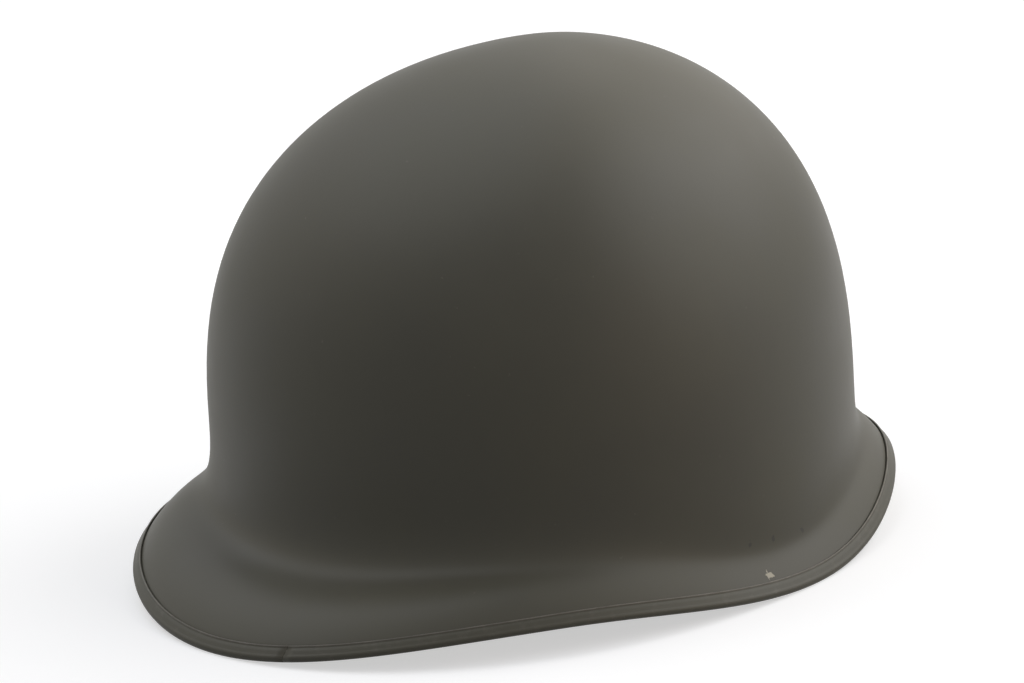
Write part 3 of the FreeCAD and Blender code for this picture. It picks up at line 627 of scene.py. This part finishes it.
def russet_leather():
    """Chrome-tanned leather: pebbled grain with dark creases and a dull wax shine."""
    made, node, place = new_material("russet_leather", IOR=1.45)
    # Pebbles of 1.3 mm, and sweat stains in clouds of 25 mm
    pebble = node("TexVoronoi", {"Vector": place, "Scale": per_metre(1.3)}, "Distance",
                  feature="DISTANCE_TO_EDGE")
    crease = node("MapRange", (pebble, 0, 0.2))
    cloud = node("TexNoise", {"Vector": place, "Scale": per_metre(25), "Detail": 4})
    stain = node("MapRange", (cloud, 0.35, 0.75, 0, 0.5))
    return finished(made, node, "leather_dark", [(crease, "leather"), (stain, "leather_dark")],
                    (cloud, 0.42, 0.6), (crease, 0.08 * MM, 1))


def seen_rays(node):
    """1 on rays that show the stage, straight or in a gloss, and 0 on rays that only light."""
    shown = 0
    for ray in ("Is Camera Ray", "Is Glossy Ray", "Is Transmission Ray"):
        shown = node("Math", (shown, node("LightPath", output=ray)), operation="MAXIMUM")
    return shown


def pale_floor():
    """Matt studio paper: white where it is seen, and dimmer in the light that it throws back."""
    made, node, place = new_material("studio_paper", Roughness=0.9, Specular_IOR_Level=0.0,
                                     Emission_Color=(1, 1, 1, 1))
    # Uneven in clouds of 300 mm
    cloud = node("TexNoise", {"Vector": place, "Scale": per_metre(300)})
    mask = node("MapRange", (cloud, 0.3, 0.7, 0, 0.05))
    tone = node("Mix", {0: mask, FIRST: tint("floor"), SECOND: tint("floor_shade")}, MIXED,
                data_type="RGBA")
    tone = node("Mix", {0: seen_rays(node), FIRST: tint("floor_unseen"), SECOND: tone}, MIXED,
                data_type="RGBA")
    glow = node("MapRange", (seen_rays(node), 0, 1, 0, FLOOR_GLOW))
    made.node_tree.links.new(tone, shader_of(made)["Base Color"])
    made.node_tree.links.new(glow, shader_of(made)["Emission Strength"])
    return made


FINISHES = {
    "bowl_enamel": lambda: olive_enamel("olive_alkyd_enamel", False),
    "strip_enamel": lambda: olive_enamel("rubbed_alkyd_enamel", True),
    "phosphated": lambda: phosphated_steel("phosphated_steel", 0.55),
    "worn_steel": lambda: phosphated_steel("worn_wire_steel", 0.3),
    "fibre": duck_fibre,
    "web": lambda: cotton_web("herringbone_cotton_web", "web", 1.1),
    "cord": lambda: cotton_web("laid_cotton_cord", "cord", 0.7),
    "thread": waxed_thread,
    "leather": russet_leather,
    "floor": pale_floor,
}
made_finishes = {}


def finish_of(name):
    if name not in made_finishes:
        made_finishes[name] = FINISHES[name]()
    return made_finishes[name]


# Pieces

BOWL_COLUMNS = 160
BRIM_ROWS = 20
DOME_ROWS = 44
STRIP_COLUMNS = 240
BAND_COLUMNS = 144


def pressed_bowl(name, helmet, edge, depth, thickness):
    """A bowl drawn ring by ring from its edge to the crown, then given its thickness inwards."""
    angles = even_angles(BOWL_COLUMNS)[:-1]
    starts = [helmet.level_at_distance(angle, edge(angle)) for angle in angles]
    rows = []
    for step in range(BRIM_ROWS):
        levels = [between(start, 1, step / BRIM_ROWS) for start in starts]
        rows.append([helmet.under_skin(angle, level, depth(level))
                     for angle, level in zip(angles, levels)])
    for step in range(DOME_ROWS):
        level = 1 + step / DOME_ROWS
        rows.append([helmet.under_skin(angle, level, depth(level)) for angle in angles])
    piece = drawn(name, rows, pole=helmet.crown_point() - UP * depth(2))
    return modify(piece, "SOLIDIFY", thickness=thickness, offset=-1)


class HELMET_OT_steel_bowl(bpy.types.Operator):
    """The drawn steel bowl"""
    bl_idname = "helmet.steel_bowl"
    bl_label = "Steel bowl"

    def execute(self, context):
        helmet = form()
        bowl = pressed_bowl("drawn_steel_bowl", helmet, lambda angle: helmet.bead_radius,
                            lambda level: 0, helmet.steel_thickness)
        dress(bowl, "bowl_enamel", "steel", "olive_paint", "steel_shell")
        return {"FINISHED"}


def strip_section(helmet):
    """The folded strip's section: distance up the skin and offset outwards, in metres."""
    bead, leg = helmet.bead_radius, helmet.strip_leg
    middle = -helmet.steel_thickness / 2
    seat = helmet.strip_fit
    face = seat + helmet.strip_thickness
    inner_seat = 2 * middle - seat
    inner_face = inner_seat - helmet.strip_thickness
    # The strip's upper edge is turned out a little over a shallow groove, and its two legs
    # meet the bead at the root
    lip, turned_out, groove, swell = 0.22 * MM, 0.12 * MM, 0.16 * MM, 0.04 * MM
    chamfer, root = 0.1 * MM, 2.3 * MM
    outside = [(leg - chamfer, face - chamfer), (leg - lip, face + turned_out),
               (leg - 2 * lip, face + chamfer), (leg - 3.4 * lip, face - groove),
               (leg - 5 * lip, face - groove), (leg - 7 * lip, face),
               (leg - 11 * lip, face + swell), (root, face)]
    arc = [(bead + bead * cosine(turn), middle + bead * sine(turn))
           for turn in range(66, 300, 18)]
    inside = [(root, inner_face), (leg - lip, inner_face), (leg, inner_face + chamfer),
              (leg, inner_seat)]
    hollow = bead - helmet.strip_thickness
    back = [(bead + hollow * cosine(turn), middle + hollow * sine(turn))
            for turn in range(288, 60, -24)]
    return outside + arc + inside + [(root, inner_seat)] + back + [(root, seat), (leg, seat)]


class HELMET_OT_rim_strip(bpy.types.Operator):
    """The steel strip folded over the bowl's edge"""
    bl_idname = "helmet.rim_strip"
    bl_label = "Rim strip"

    def execute(self, context):
        helmet = form()
        section = strip_section(helmet)
        # The ends are butted closer than the CAD's gap: a third of it is open
        half_gap = math.degrees(helmet.seam_width / 6 / helmet.rim_front_reach)
        start, sweep = helmet.seam_angle + half_gap, FULL - 2 * half_gap
        rows = [[helmet.under_skin(angle, helmet.level_at_distance(angle, distance), -offset)
                 for distance, offset in section]
                for angle in even_angles(STRIP_COLUMNS, start, sweep)]
        strip = drawn("folded_rim_strip", rows, cap_ends=True, uv=True)
        dress(strip, "strip_enamel", "steel", "olive_paint", "rim_strip")
        return {"FINISHED"}


class HELMET_OT_liner(bpy.types.Operator):
    """The pressed fibre liner"""
    bl_idname = "helmet.liner"
    bl_label = "Liner"

    def execute(self, context):
        helmet = form()
        liner = pressed_bowl("pressed_fibre_liner", helmet, helmet.liner_edge,
                             helmet.liner_outer_depth, helmet.liner_thickness)
        # The eyelet's hole is punched from 8 mm outside the inner wall to 4 mm inside it
        high = helmet.eyelet_height + helmet.lift
        outer, inner = [helmet.wall_place(0, high, 0, 0, reach * MM) for reach in (-8, 4)]
        deselect()
        bpy.ops.mesh.primitive_cylinder_add(
            vertices=48, radius=helmet.eyelet_hole, depth=12 * MM, location=outer.lerp(inner, 0.5),
            rotation=(outer - inner).to_track_quat("Z", "Y").to_euler())
        punch = context.object
        modify(liner, "BOOLEAN", object=punch, operation="DIFFERENCE", solver="EXACT")
        bpy.data.objects.remove(punch)
        dress(liner, "fibre", "liner", "pressed_fibre", "liner_shell")
        return {"FINISHED"}


METAL_FINISHES = {
    "bowl_enamel": "left_loop_lug right_loop_lug",
    "worn_steel": "left_strap_loop right_strap_loop",
    "phosphated": "suspension_rivets suspension_washers sweatband_clips sweatband_buckle "
                  "nape_rivets nape_washers liner_strap_studs front_eyelet",
}


class HELMET_OT_metal(bpy.types.Operator):
    """Finishes for the small metal pieces, whose CAD shapes are kept"""
    bl_idname = "helmet.metal"
    bl_label = "Small metal pieces"

    def execute(self, context):
        for finish, names in METAL_FINISHES.items():
            for name in names.split():
                coat(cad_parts[name], finish)
        return {"FINISHED"}


# Webs, leather and lace

WASHER_ANGLES = (30.0, 95.0, 150.0)

# Stitches round each of the sweatband's two seams, and how far the seams lie below its top
SWEATBAND_STITCHES = 150
SWEATBAND_SEAMS = (3.5 * MM, 30.0 * MM)


def both_sides(angles):
    return [side * angle for angle in angles for side in (1, -1)]


def flat_section(thickness):
    """A web's section, with flat faces and round selvedges: share across, inset and depth."""
    edge = thickness / 2
    return [(-1, 0, 0), (-1, edge, 0.5), (-0.4, 0, 0.5), (0.4, 0, 0.5), (1, -edge, 0.5),
            (1, 0, 0), (1, -edge, -0.5), (0.4, 0, -0.5), (-0.4, 0, -0.5), (-1, edge, -0.5)]


def ribbon(name, path, across, width, thickness):
    """A flat web along a path: each point carries the way out of the web's face."""
    rows = [[point + across * (side * width / 2 + inset) + face_way * (depth * thickness)
             for side, inset, depth in flat_section(thickness)] for point, face_way in path]
    return drawn(name, rows, cap_ends=True, uv=True)


def headings(points, closing=False):
    """A path's direction at each of its points; a closed path ends on its first point."""
    first, last = (points[-2], points[1]) if closing else (points[0], points[-1])
    padded = [first] + points + [last]
    return [(after - before).normalized() for before, after in zip(padded, padded[2:])]


def with_ways(points, across):
    """Each point of a path with the direction out of the web there."""
    return [(point, across.cross(ahead).normalized())
            for point, ahead in zip(points, headings(points))]


def standing_band(name, helmet, angles, offset_at, thickness, low, height, closing):
    """A band of web or leather that stands upright inside the liner's wall."""
    top = low + height + helmet.lift
    middle = top - height / 2
    rows = []
    for angle in angles:
        outer = helmet.inside_point(angle, top, offset_at(angle))
        inner = helmet.inside_point(angle, top, offset_at(angle) + thickness)
        row = []
        for side, inset, depth in flat_section(thickness):
            place = outer.lerp(inner, 0.5 + depth)
            row.append(Vector((place.x, place.y, middle + side * height / 2 + inset)))
        rows.append(row)
    return drawn(name, rows, cap_ends=not closing, closing=closing, uv=True)


def stitched(name, places, length_mm=2.4, thickness_mm=0.5):
    """Stitches: one short thread, copied to each place with its direction and the way out."""
    deselect()
    bpy.ops.mesh.primitive_ico_sphere_add(subdivisions=1, radius=0.5 * MM)
    piece = bpy.context.object
    piece.name = name
    thread = piece.data.copy()
    sewn = bmesh.new()
    for point, along, out in places:
        side = out.cross(along).normalized()
        turn = Matrix((along * length_mm, side * thickness_mm, out * thickness_mm))
        first = len(sewn.verts)
        sewn.from_mesh(thread)
        sewn.verts.ensure_lookup_table()
        bmesh.ops.transform(sewn, matrix=Matrix.Translation(point) @ turn.transposed().to_4x4(),
                            verts=sewn.verts[first:])
    sewn.to_mesh(piece.data)
    sewn.free()
    bpy.data.meshes.remove(thread)
    bpy.ops.object.shade_smooth()
    return piece


class HELMET_OT_headband(bpy.types.Operator):
    """The headband web on the six washers"""
    bl_idname = "helmet.headband"
    bl_label = "Headband web"

    def execute(self, context):
        helmet = form()
        stops = (-WASHER_ANGLES[0],) + WASHER_ANGLES + (FULL - WASHER_ANGLES[-1],)

        def offset_at(angle):
            turned = swung(angle)
            for start, end in zip(stops, stops[1:]):
                if start <= turned <= end:
                    wave = (1 - cosine(FULL * (turned - start) / (end - start))) / 2
                    return between(helmet.headband_seat, helmet.headband_bow, wave)

        web = standing_band("headband_herringbone_web", helmet, even_angles(BAND_COLUMNS),
                            offset_at, helmet.web_thickness, helmet.headband_low,
                            helmet.headband_height, True)
        dress(web, "web", "liner", "cotton_web", "headband_web")
        return {"FINISHED"}


class HELMET_OT_sweatband(bpy.types.Operator):
    """The leather sweatband and its row of stitches"""
    bl_idname = "helmet.sweatband"
    bl_label = "Sweatband"

    def execute(self, context):
        helmet = form()
        band = standing_band("russet_sweatband", helmet, even_angles(BAND_COLUMNS),
                             lambda angle: helmet.sweatband_depth, helmet.sweatband_thickness,
                             helmet.sweatband_low, helmet.sweatband_height, True)
        dress(band, "leather", "liner", "sweatband_leather", "sweatband")
        top = helmet.sweatband_low + helmet.sweatband_height + helmet.lift
        inner = helmet.sweatband_depth + helmet.sweatband_thickness
        places = []
        for angle in even_angles(SWEATBAND_STITCHES)[:-1]:
            point = helmet.inside_point(angle, top, inner)
            ahead = helmet.inside_point(angle + 1, top, inner) - point
            out = ahead.cross(UP).normalized()
            for drop in SWEATBAND_SEAMS:
                places.append((Vector((point.x, point.y, top - drop)), ahead.normalized(), out))
        thread = stitched("sweatband_stitches", places)
        dress(thread, "thread", "liner", "sweatband_leather")
        return {"FINISHED"}


def strap_name(angle):
    side = "left" if angle > 0 else "right"
    place = ("front", "side", "rear")[WASHER_ANGLES.index(abs(angle))]
    return f"crown_strap_{place}_{side}"


def strap_line(helmet, angle):
    """A strap's bar, out from the suspension's centre: how far, which way and how high."""
    bar = helmet.wall_place(angle, helmet.washer_height + helmet.lift, 0,
                            helmet.washer_bar_rise, helmet.washer_bar_offset)
    out = Vector((bar.x, bar.y - helmet.suspension_centre, 0))
    return out.length, out.normalized(), bar.z


# A strap's two layers lie this many web thicknesses off its middle where they are sewn, and
# the stitches stand this many off it, seven in a row
STRAP_FOLD_OFFSET = 0.52
STITCH_OFFSET = 1.02
STITCH_PITCH = 2.4 * MM

# Points along a strap's folds, its arch and its eyes, and each eye's arc in degrees
FOLD_STEPS, ARCH_STEPS, EYE_STEPS = 6, 40, 14
BAR_EYE_ARC, LACE_EYE_ARC = (108, 432), (22, 338)


class HELMET_OT_crown_straps(bpy.types.Operator):
    """The six crown straps, each folded round its bar and the lace and sewn back"""
    bl_idname = "helmet.crown_straps"
    bl_label = "Crown straps"

    def execute(self, context):
        helmet = form()
        web = helmet.web_thickness
        fold = web * STRAP_FOLD_OFFSET
        lace_z = helmet.lace_height + helmet.lift
        bar_eye = helmet.washer_bar_radius + helmet.eye_play + web / 2
        lace_eye = helmet.lace_thickness / 2 + helmet.lace_play + web / 2
        stitches = []
        for angle in both_sides(WASHER_ANGLES):
            bar_radius, out, bar_z = strap_line(helmet, angle)
            inner = helmet.lace_radius + lace_eye
            low = bar_z + bar_eye
            span, climb = bar_radius - inner, lace_z - low
            sewn = QUARTER * helmet.strap_fold / ((span + climb) / 2 * math.radians(QUARTER))
            across = UP.cross(out)

            def place(radius, height):
                return Vector((out.x * radius, helmet.suspension_centre + out.y * radius, height))

            def arch(turn, offset):
                slope = Vector((climb * cosine(turn), span * sine(turn))).normalized()
                return place(inner + span * cosine(turn) - slope.x * offset,
                             low + climb * sine(turn) - slope.y * offset)

            def eye(radius, height, size, start, end):
                return [place(radius + size * cosine(turn), height + size * sine(turn))
                        for turn in even_angles(EYE_STEPS, start, end - start)]

            # From the fold's end down round the bar, up the arch, round the lace and back
            points = [arch(turn, fold) for turn in even_angles(FOLD_STEPS, sewn, 1 - sewn)]
            points += eye(bar_radius, bar_z, bar_eye, *BAR_EYE_ARC)
            points += [arch(turn, -fold) for turn in even_angles(ARCH_STEPS, 1.5, QUARTER - 3)]
            points += eye(helmet.lace_radius, lace_z, lace_eye, *LACE_EYE_ARC)
            points += [arch(QUARTER - turn, fold)
                       for turn in even_angles(FOLD_STEPS, 1, sewn - 1)]
            strap = ribbon(strap_name(angle) + "_web", with_ways(points, across), across,
                           helmet.strap_web_width, web)
            dress(strap, "web", "liner", "cotton_web", strap_name(angle))
            for start, way_on in ((0, 1), (QUARTER, -1)):
                for part in (0.3, 0.85):
                    for offset in (-STITCH_OFFSET * web, STITCH_OFFSET * web):
                        centre = arch(start + way_on * sewn * part, offset)
                        way = (centre - arch(start + way_on * sewn * part, 0)).normalized()
                        stitches += [(centre + across * (step * STITCH_PITCH), across, way)
                                     for step in range(-3, 4)]
        thread = stitched("crown_strap_stitches", stitches, 1.9, 0.5)
        dress(thread, "thread", "liner", "cotton_web")
        return {"FINISHED"}


# The lace's strands turn once in this length. Their offset and radius, and the sizes of what
# hangs from the ring, are shares of the lace's thickness or of the knot's radius
LACE_PITCH = 9 * MM
STRAND_OFFSET, STRAND_RADIUS = 0.268, 0.232
TAIL_SHARE = 0.9
KNOT_CORD, KNOT_REACH = 0.36, 0.72


def tube(name, points, radius, sides, closing):
    """A round cord along a path, with its section carried along without a twist."""
    rows = []
    normal = None
    for point, ahead in zip(points, headings(points, closing)):
        normal = normal or ahead.orthogonal().normalized()
        normal = (normal - ahead * normal.dot(ahead)).normalized()
        side = ahead.cross(normal)
        rows.append([point + (normal * cosine(turn) + side * sine(turn)) * radius
                     for turn in even_angles(sides)[:-1]])
    if closing:
        rows[-1] = rows[0]
    return drawn(name, rows, cap_ends=not closing, closing=closing, uv=True)


def twisted(name, points, thickness, closing):
    """Three laid strands round a line of evenly spaced points."""
    run = sum((there - here).length for here, there in zip(points, points[1:]))
    turns = max(round(run / LACE_PITCH), 1)
    strands = []
    for strand in range(3):
        line = []
        for number, (point, ahead) in enumerate(zip(points, headings(points, closing))):
            side = ahead.cross(UP if abs(ahead.z) < 0.9 else ACROSS).normalized()
            turn = FULL * (turns * number / (len(points) - 1) + strand / 3)
            line.append(point + (side * cosine(turn) + side.cross(ahead) * sine(turn))
                        * (thickness * STRAND_OFFSET))
        strands.append(tube(name, line, thickness * STRAND_RADIUS, 8, closing))
    return joined(strands)


class HELMET_OT_crown_lace(bpy.types.Operator):
    """The laid cotton lace through the six straps, its knot and tails"""
    bl_idname = "helmet.crown_lace"
    bl_label = "Crown lace"

    def execute(self, context):
        helmet = form()
        centre = Vector((0, helmet.suspension_centre, helmet.lace_height + helmet.lift))
        ways = [strap_line(helmet, angle)[1] for angle in sorted(both_sides(WASHER_ANGLES))]
        corners = []
        for way, following in zip(ways, ways[1:] + ways[:1]):
            half_way = (way + following).normalized()
            corners.append(centre + half_way * (helmet.lace_radius / half_way.dot(way)))
        # A straight run through each strap, and a bend at each corner between two straps
        points = []
        for number, corner in enumerate(corners):
            following = corners[(number + 1) % len(corners)]
            start = corner.lerp(corners[number - 1], 0.2)
            end = corner.lerp(following, 0.2)
            middle = corner.lerp(centre, 0.045)
            for step in range(10):
                part = step / 10
                points.append(start.lerp(middle, part).lerp(middle.lerp(end, part), part))
            points += [end.lerp(following.lerp(corner, 0.2), step / 16) for step in range(16)]
        lace = helmet.lace_thickness
        ring = twisted("laid_crown_lace", points + points[:1], lace, True)
        # The knot hangs on a short neck under the rearmost corner
        root = max(corners, key=lambda corner: corner.y).lerp(centre, 0.05)
        knot = root - UP * (lace / 2 + helmet.lace_play + helmet.web_thickness + helmet.knot_radius)
        reach = helmet.knot_radius * KNOT_REACH
        bend = [knot + Vector(((sine(turn) + 2 * sine(2 * turn)) / 3 * reach,
                               -sine(3 * turn) / 2 * reach,
                               (cosine(turn) - 2 * cosine(2 * turn)) / 3 * reach))
                for turn in even_angles(60)]
        neck = [root.lerp(knot, step / 8) for step in range(9)]
        parts = [ring, tube("knot", bend, lace * KNOT_CORD, 10, True),
                 twisted("neck", neck, lace * TAIL_SHARE, False)]
        lean = helmet.lace_tail_lean
        for side in (-1, 1):
            way = Vector((side * sine(lean), -sine(lean), -cosine(lean)))
            line = [knot + way * (helmet.lace_tail * step / 16) for step in range(17)]
            parts.append(twisted("tail", line, lace * TAIL_SHARE, False))
        dress(joined(parts), "cord", "liner", "cotton_cord", "crown_lace")
        return {"FINISHED"}


class HELMET_OT_nape(bpy.types.Operator):
    """The nape band and the centre strap that carries it"""
    bl_idname = "helmet.nape"
    bl_label = "Nape webs"

    def execute(self, context):
        helmet = form()
        web = helmet.web_thickness
        # The band runs on past its rivets, 5 mm and its own thickness
        start = helmet.nape_angle - math.degrees((5 * MM + web) / helmet.wall_half_width)

        def offset_at(angle):
            part = max((swung(angle) - helmet.nape_angle) / (HALF - helmet.nape_angle), 0)
            return between(helmet.nape_seat, helmet.nape_bow, (1 - cosine(HALF * part)) / 2)

        band = standing_band("nape_herringbone_web", helmet,
                             even_angles(BAND_COLUMNS // 2, start, FULL - 2 * start), offset_at,
                             web, helmet.nape_low, helmet.nape_height, False)
        dress(band, "web", "liner", "cotton_web", "nape_band")
        # The centre strap, as distances off the wall and heights: it hangs from its rivet and
        # goes round the band, clear of it by .3 mm, with its corners bent over .8 mm
        clear = 0.3 * MM + web / 2
        bend = 0.8 * MM
        wall = helmet.inside_point(HALF, helmet.nape_rivet + helmet.lift, 0)
        low = helmet.nape_low + helmet.lift
        high = low + helmet.nape_height
        bow = wall.y - helmet.inside_point(HALF, high, helmet.nape_bow).y
        outer, inner = bow - clear, bow + web + clear
        seat = helmet.nape_seat + web / 2
        under, over = low - clear, high + clear
        places = [(seat, helmet.nape_tab_top + helmet.lift), (seat, over + 6 * MM),
                  (seat, over + 3 * MM), (between(seat, outer, 0.5), over + 1.2 * MM),
                  (outer, over - bend), (outer, over - 4 * MM),
                  (outer, under + 3 * MM), (outer, under + bend),
                  (outer + bend, under), (inner - bend, under),
                  (inner, under + bend), (inner, under + 3 * MM),
                  (inner, over - 4 * MM), (inner, over - bend),
                  (inner - bend, over), (outer + 1.2 * MM, over + 0.3 * MM)]
        points = [Vector((0, wall.y - off, height)) for off, height in places]
        strap = ribbon("nape_centre_web", with_ways(points, ACROSS), ACROSS,
                       helmet.nape_tab_width, web)
        modify(strap, "SUBSURF", levels=2, render_levels=2)
        dress(strap, "web", "liner", "cotton_web", "nape_centre_strap")
        return {"FINISHED"}


# Stage

# Each lamp's place, power in watts and colour. The sky is dimmer where it only lights
LAMPS = {
    "overhead": ((-0.78, -0.20, 1.80), 11.8, (0.84, 0.90, 1)),
    "key": ((0.87, 1.22, 1.25), 21.0, (1, 1, 1)),
    "rear": ((-0.25, 1.48, 1.25), 9.3, (1, 0.92, 0.8)),
    "fill": ((-1.30, -0.74, 1.25), 4.2, (1, 0.87, 0.6)),
    "low": ((1.81, 0.47, 0.41), 6.4, (1, 0.74, 0.52)),
}
LAMP_SIZE = 2.0
LAMP_AIM = Vector((0, 0, 0.08))
SKY_STRENGTH = 0.26
SKY_COLOUR = (0.84, 0.87, 1, 1)
FLOOR_SIZE = 9

# The camera that the photograph's outline gave: its place, its right, up and back, its lens
CAMERA_PLACE = (1.169401, -1.183622, 0.553483)
CAMERA_AXES = ((0.72284, 0.68882, -0.05497), (-0.15419, 0.23833, 0.95887),
               (0.67359, -0.68463, 0.27848))
CAMERA_LENS = 177.07


class HELMET_OT_stage(bpy.types.Operator):
    """Floor, light and camera"""
    bl_idname = "helmet.stage"
    bl_label = "Stage"

    def execute(self, context):
        scene = context.scene
        scene.view_settings.view_transform = "Standard"
        deselect()
        bpy.ops.mesh.primitive_plane_add(size=FLOOR_SIZE)
        floor = context.object
        floor.name = "studio_floor"
        coat(floor, "floor")
        world = bpy.data.worlds.new("studio")
        scene.world = world
        world.use_nodes = True
        tree = world.node_tree
        sky = tree.nodes["Background"].inputs
        node = partial(add_node, tree)
        strength = node("MapRange", (seen_rays(node), 0, 1, SKY_STRENGTH, 1))
        shade = node("Mix", {0: seen_rays(node), FIRST: SKY_COLOUR, SECOND: (1, 1, 1, 1)}, MIXED,
                     data_type="RGBA")
        tree.links.new(strength, sky["Strength"])
        tree.links.new(shade, sky["Color"])
        for name, (place, power, shade) in LAMPS.items():
            bpy.ops.object.light_add(type="AREA", location=place)
            lamp = context.object
            lamp.name = name
            lamp.data.shape = "DISK"
            lamp.data.size = LAMP_SIZE
            lamp.data.energy = power
            lamp.data.color = shade
            aim = LAMP_AIM - Vector(place)
            lamp.rotation_euler = aim.to_track_quat("-Z", "Y").to_euler()
        bpy.ops.object.camera_add()
        camera = context.object
        camera.name = "photo_camera"
        camera.data.lens = CAMERA_LENS
        turn = Matrix(CAMERA_AXES).transposed().to_4x4()
        camera.matrix_world = Matrix.Translation(CAMERA_PLACE) @ turn
        scene.camera = camera
        return {"FINISHED"}


class HELMET_PT_sidebar(bpy.types.Panel):
    """Lists the helmet's pieces and sizes"""
    bl_idname = "HELMET_PT_sidebar"
    bl_label = "Helmet"
    bl_space_type = "VIEW_3D"
    bl_region_type = "UI"
    bl_category = "Helmet"

    def draw(self, context):
        for operator in OPERATORS:
            self.layout.operator(operator.bl_idname)
        scene = context.scene
        for group in (scene.helmet_sizes, scene.suspension_sizes, scene.helmet_colours):
            for name in group.__annotations__:
                self.layout.prop(group, name)


OPERATORS = (HELMET_OT_stage, HELMET_OT_steel_bowl, HELMET_OT_rim_strip, HELMET_OT_liner,
             HELMET_OT_metal, HELMET_OT_headband, HELMET_OT_sweatband, HELMET_OT_crown_straps,
             HELMET_OT_crown_lace, HELMET_OT_nape)
CLASSES = (HelmetSizes, SuspensionSizes, HelmetColours) + OPERATORS + (HELMET_PT_sidebar,)


def register():
    for cls in CLASSES:
        bpy.utils.register_class(cls)
    bpy.types.Scene.helmet_sizes = PointerProperty(type=HelmetSizes)
    bpy.types.Scene.suspension_sizes = PointerProperty(type=SuspensionSizes)
    bpy.types.Scene.helmet_colours = PointerProperty(type=HelmetColours)


def unregister():
    del bpy.types.Scene.helmet_colours
    del bpy.types.Scene.suspension_sizes
    del bpy.types.Scene.helmet_sizes
    for cls in reversed(CLASSES):
        bpy.utils.unregister_class(cls)


def main():
    register()
    for operator in OPERATORS:
        group, name = operator.bl_idname.split(".")
        getattr(getattr(bpy.ops, group), name)()


if __name__ == "__main__":
    main()
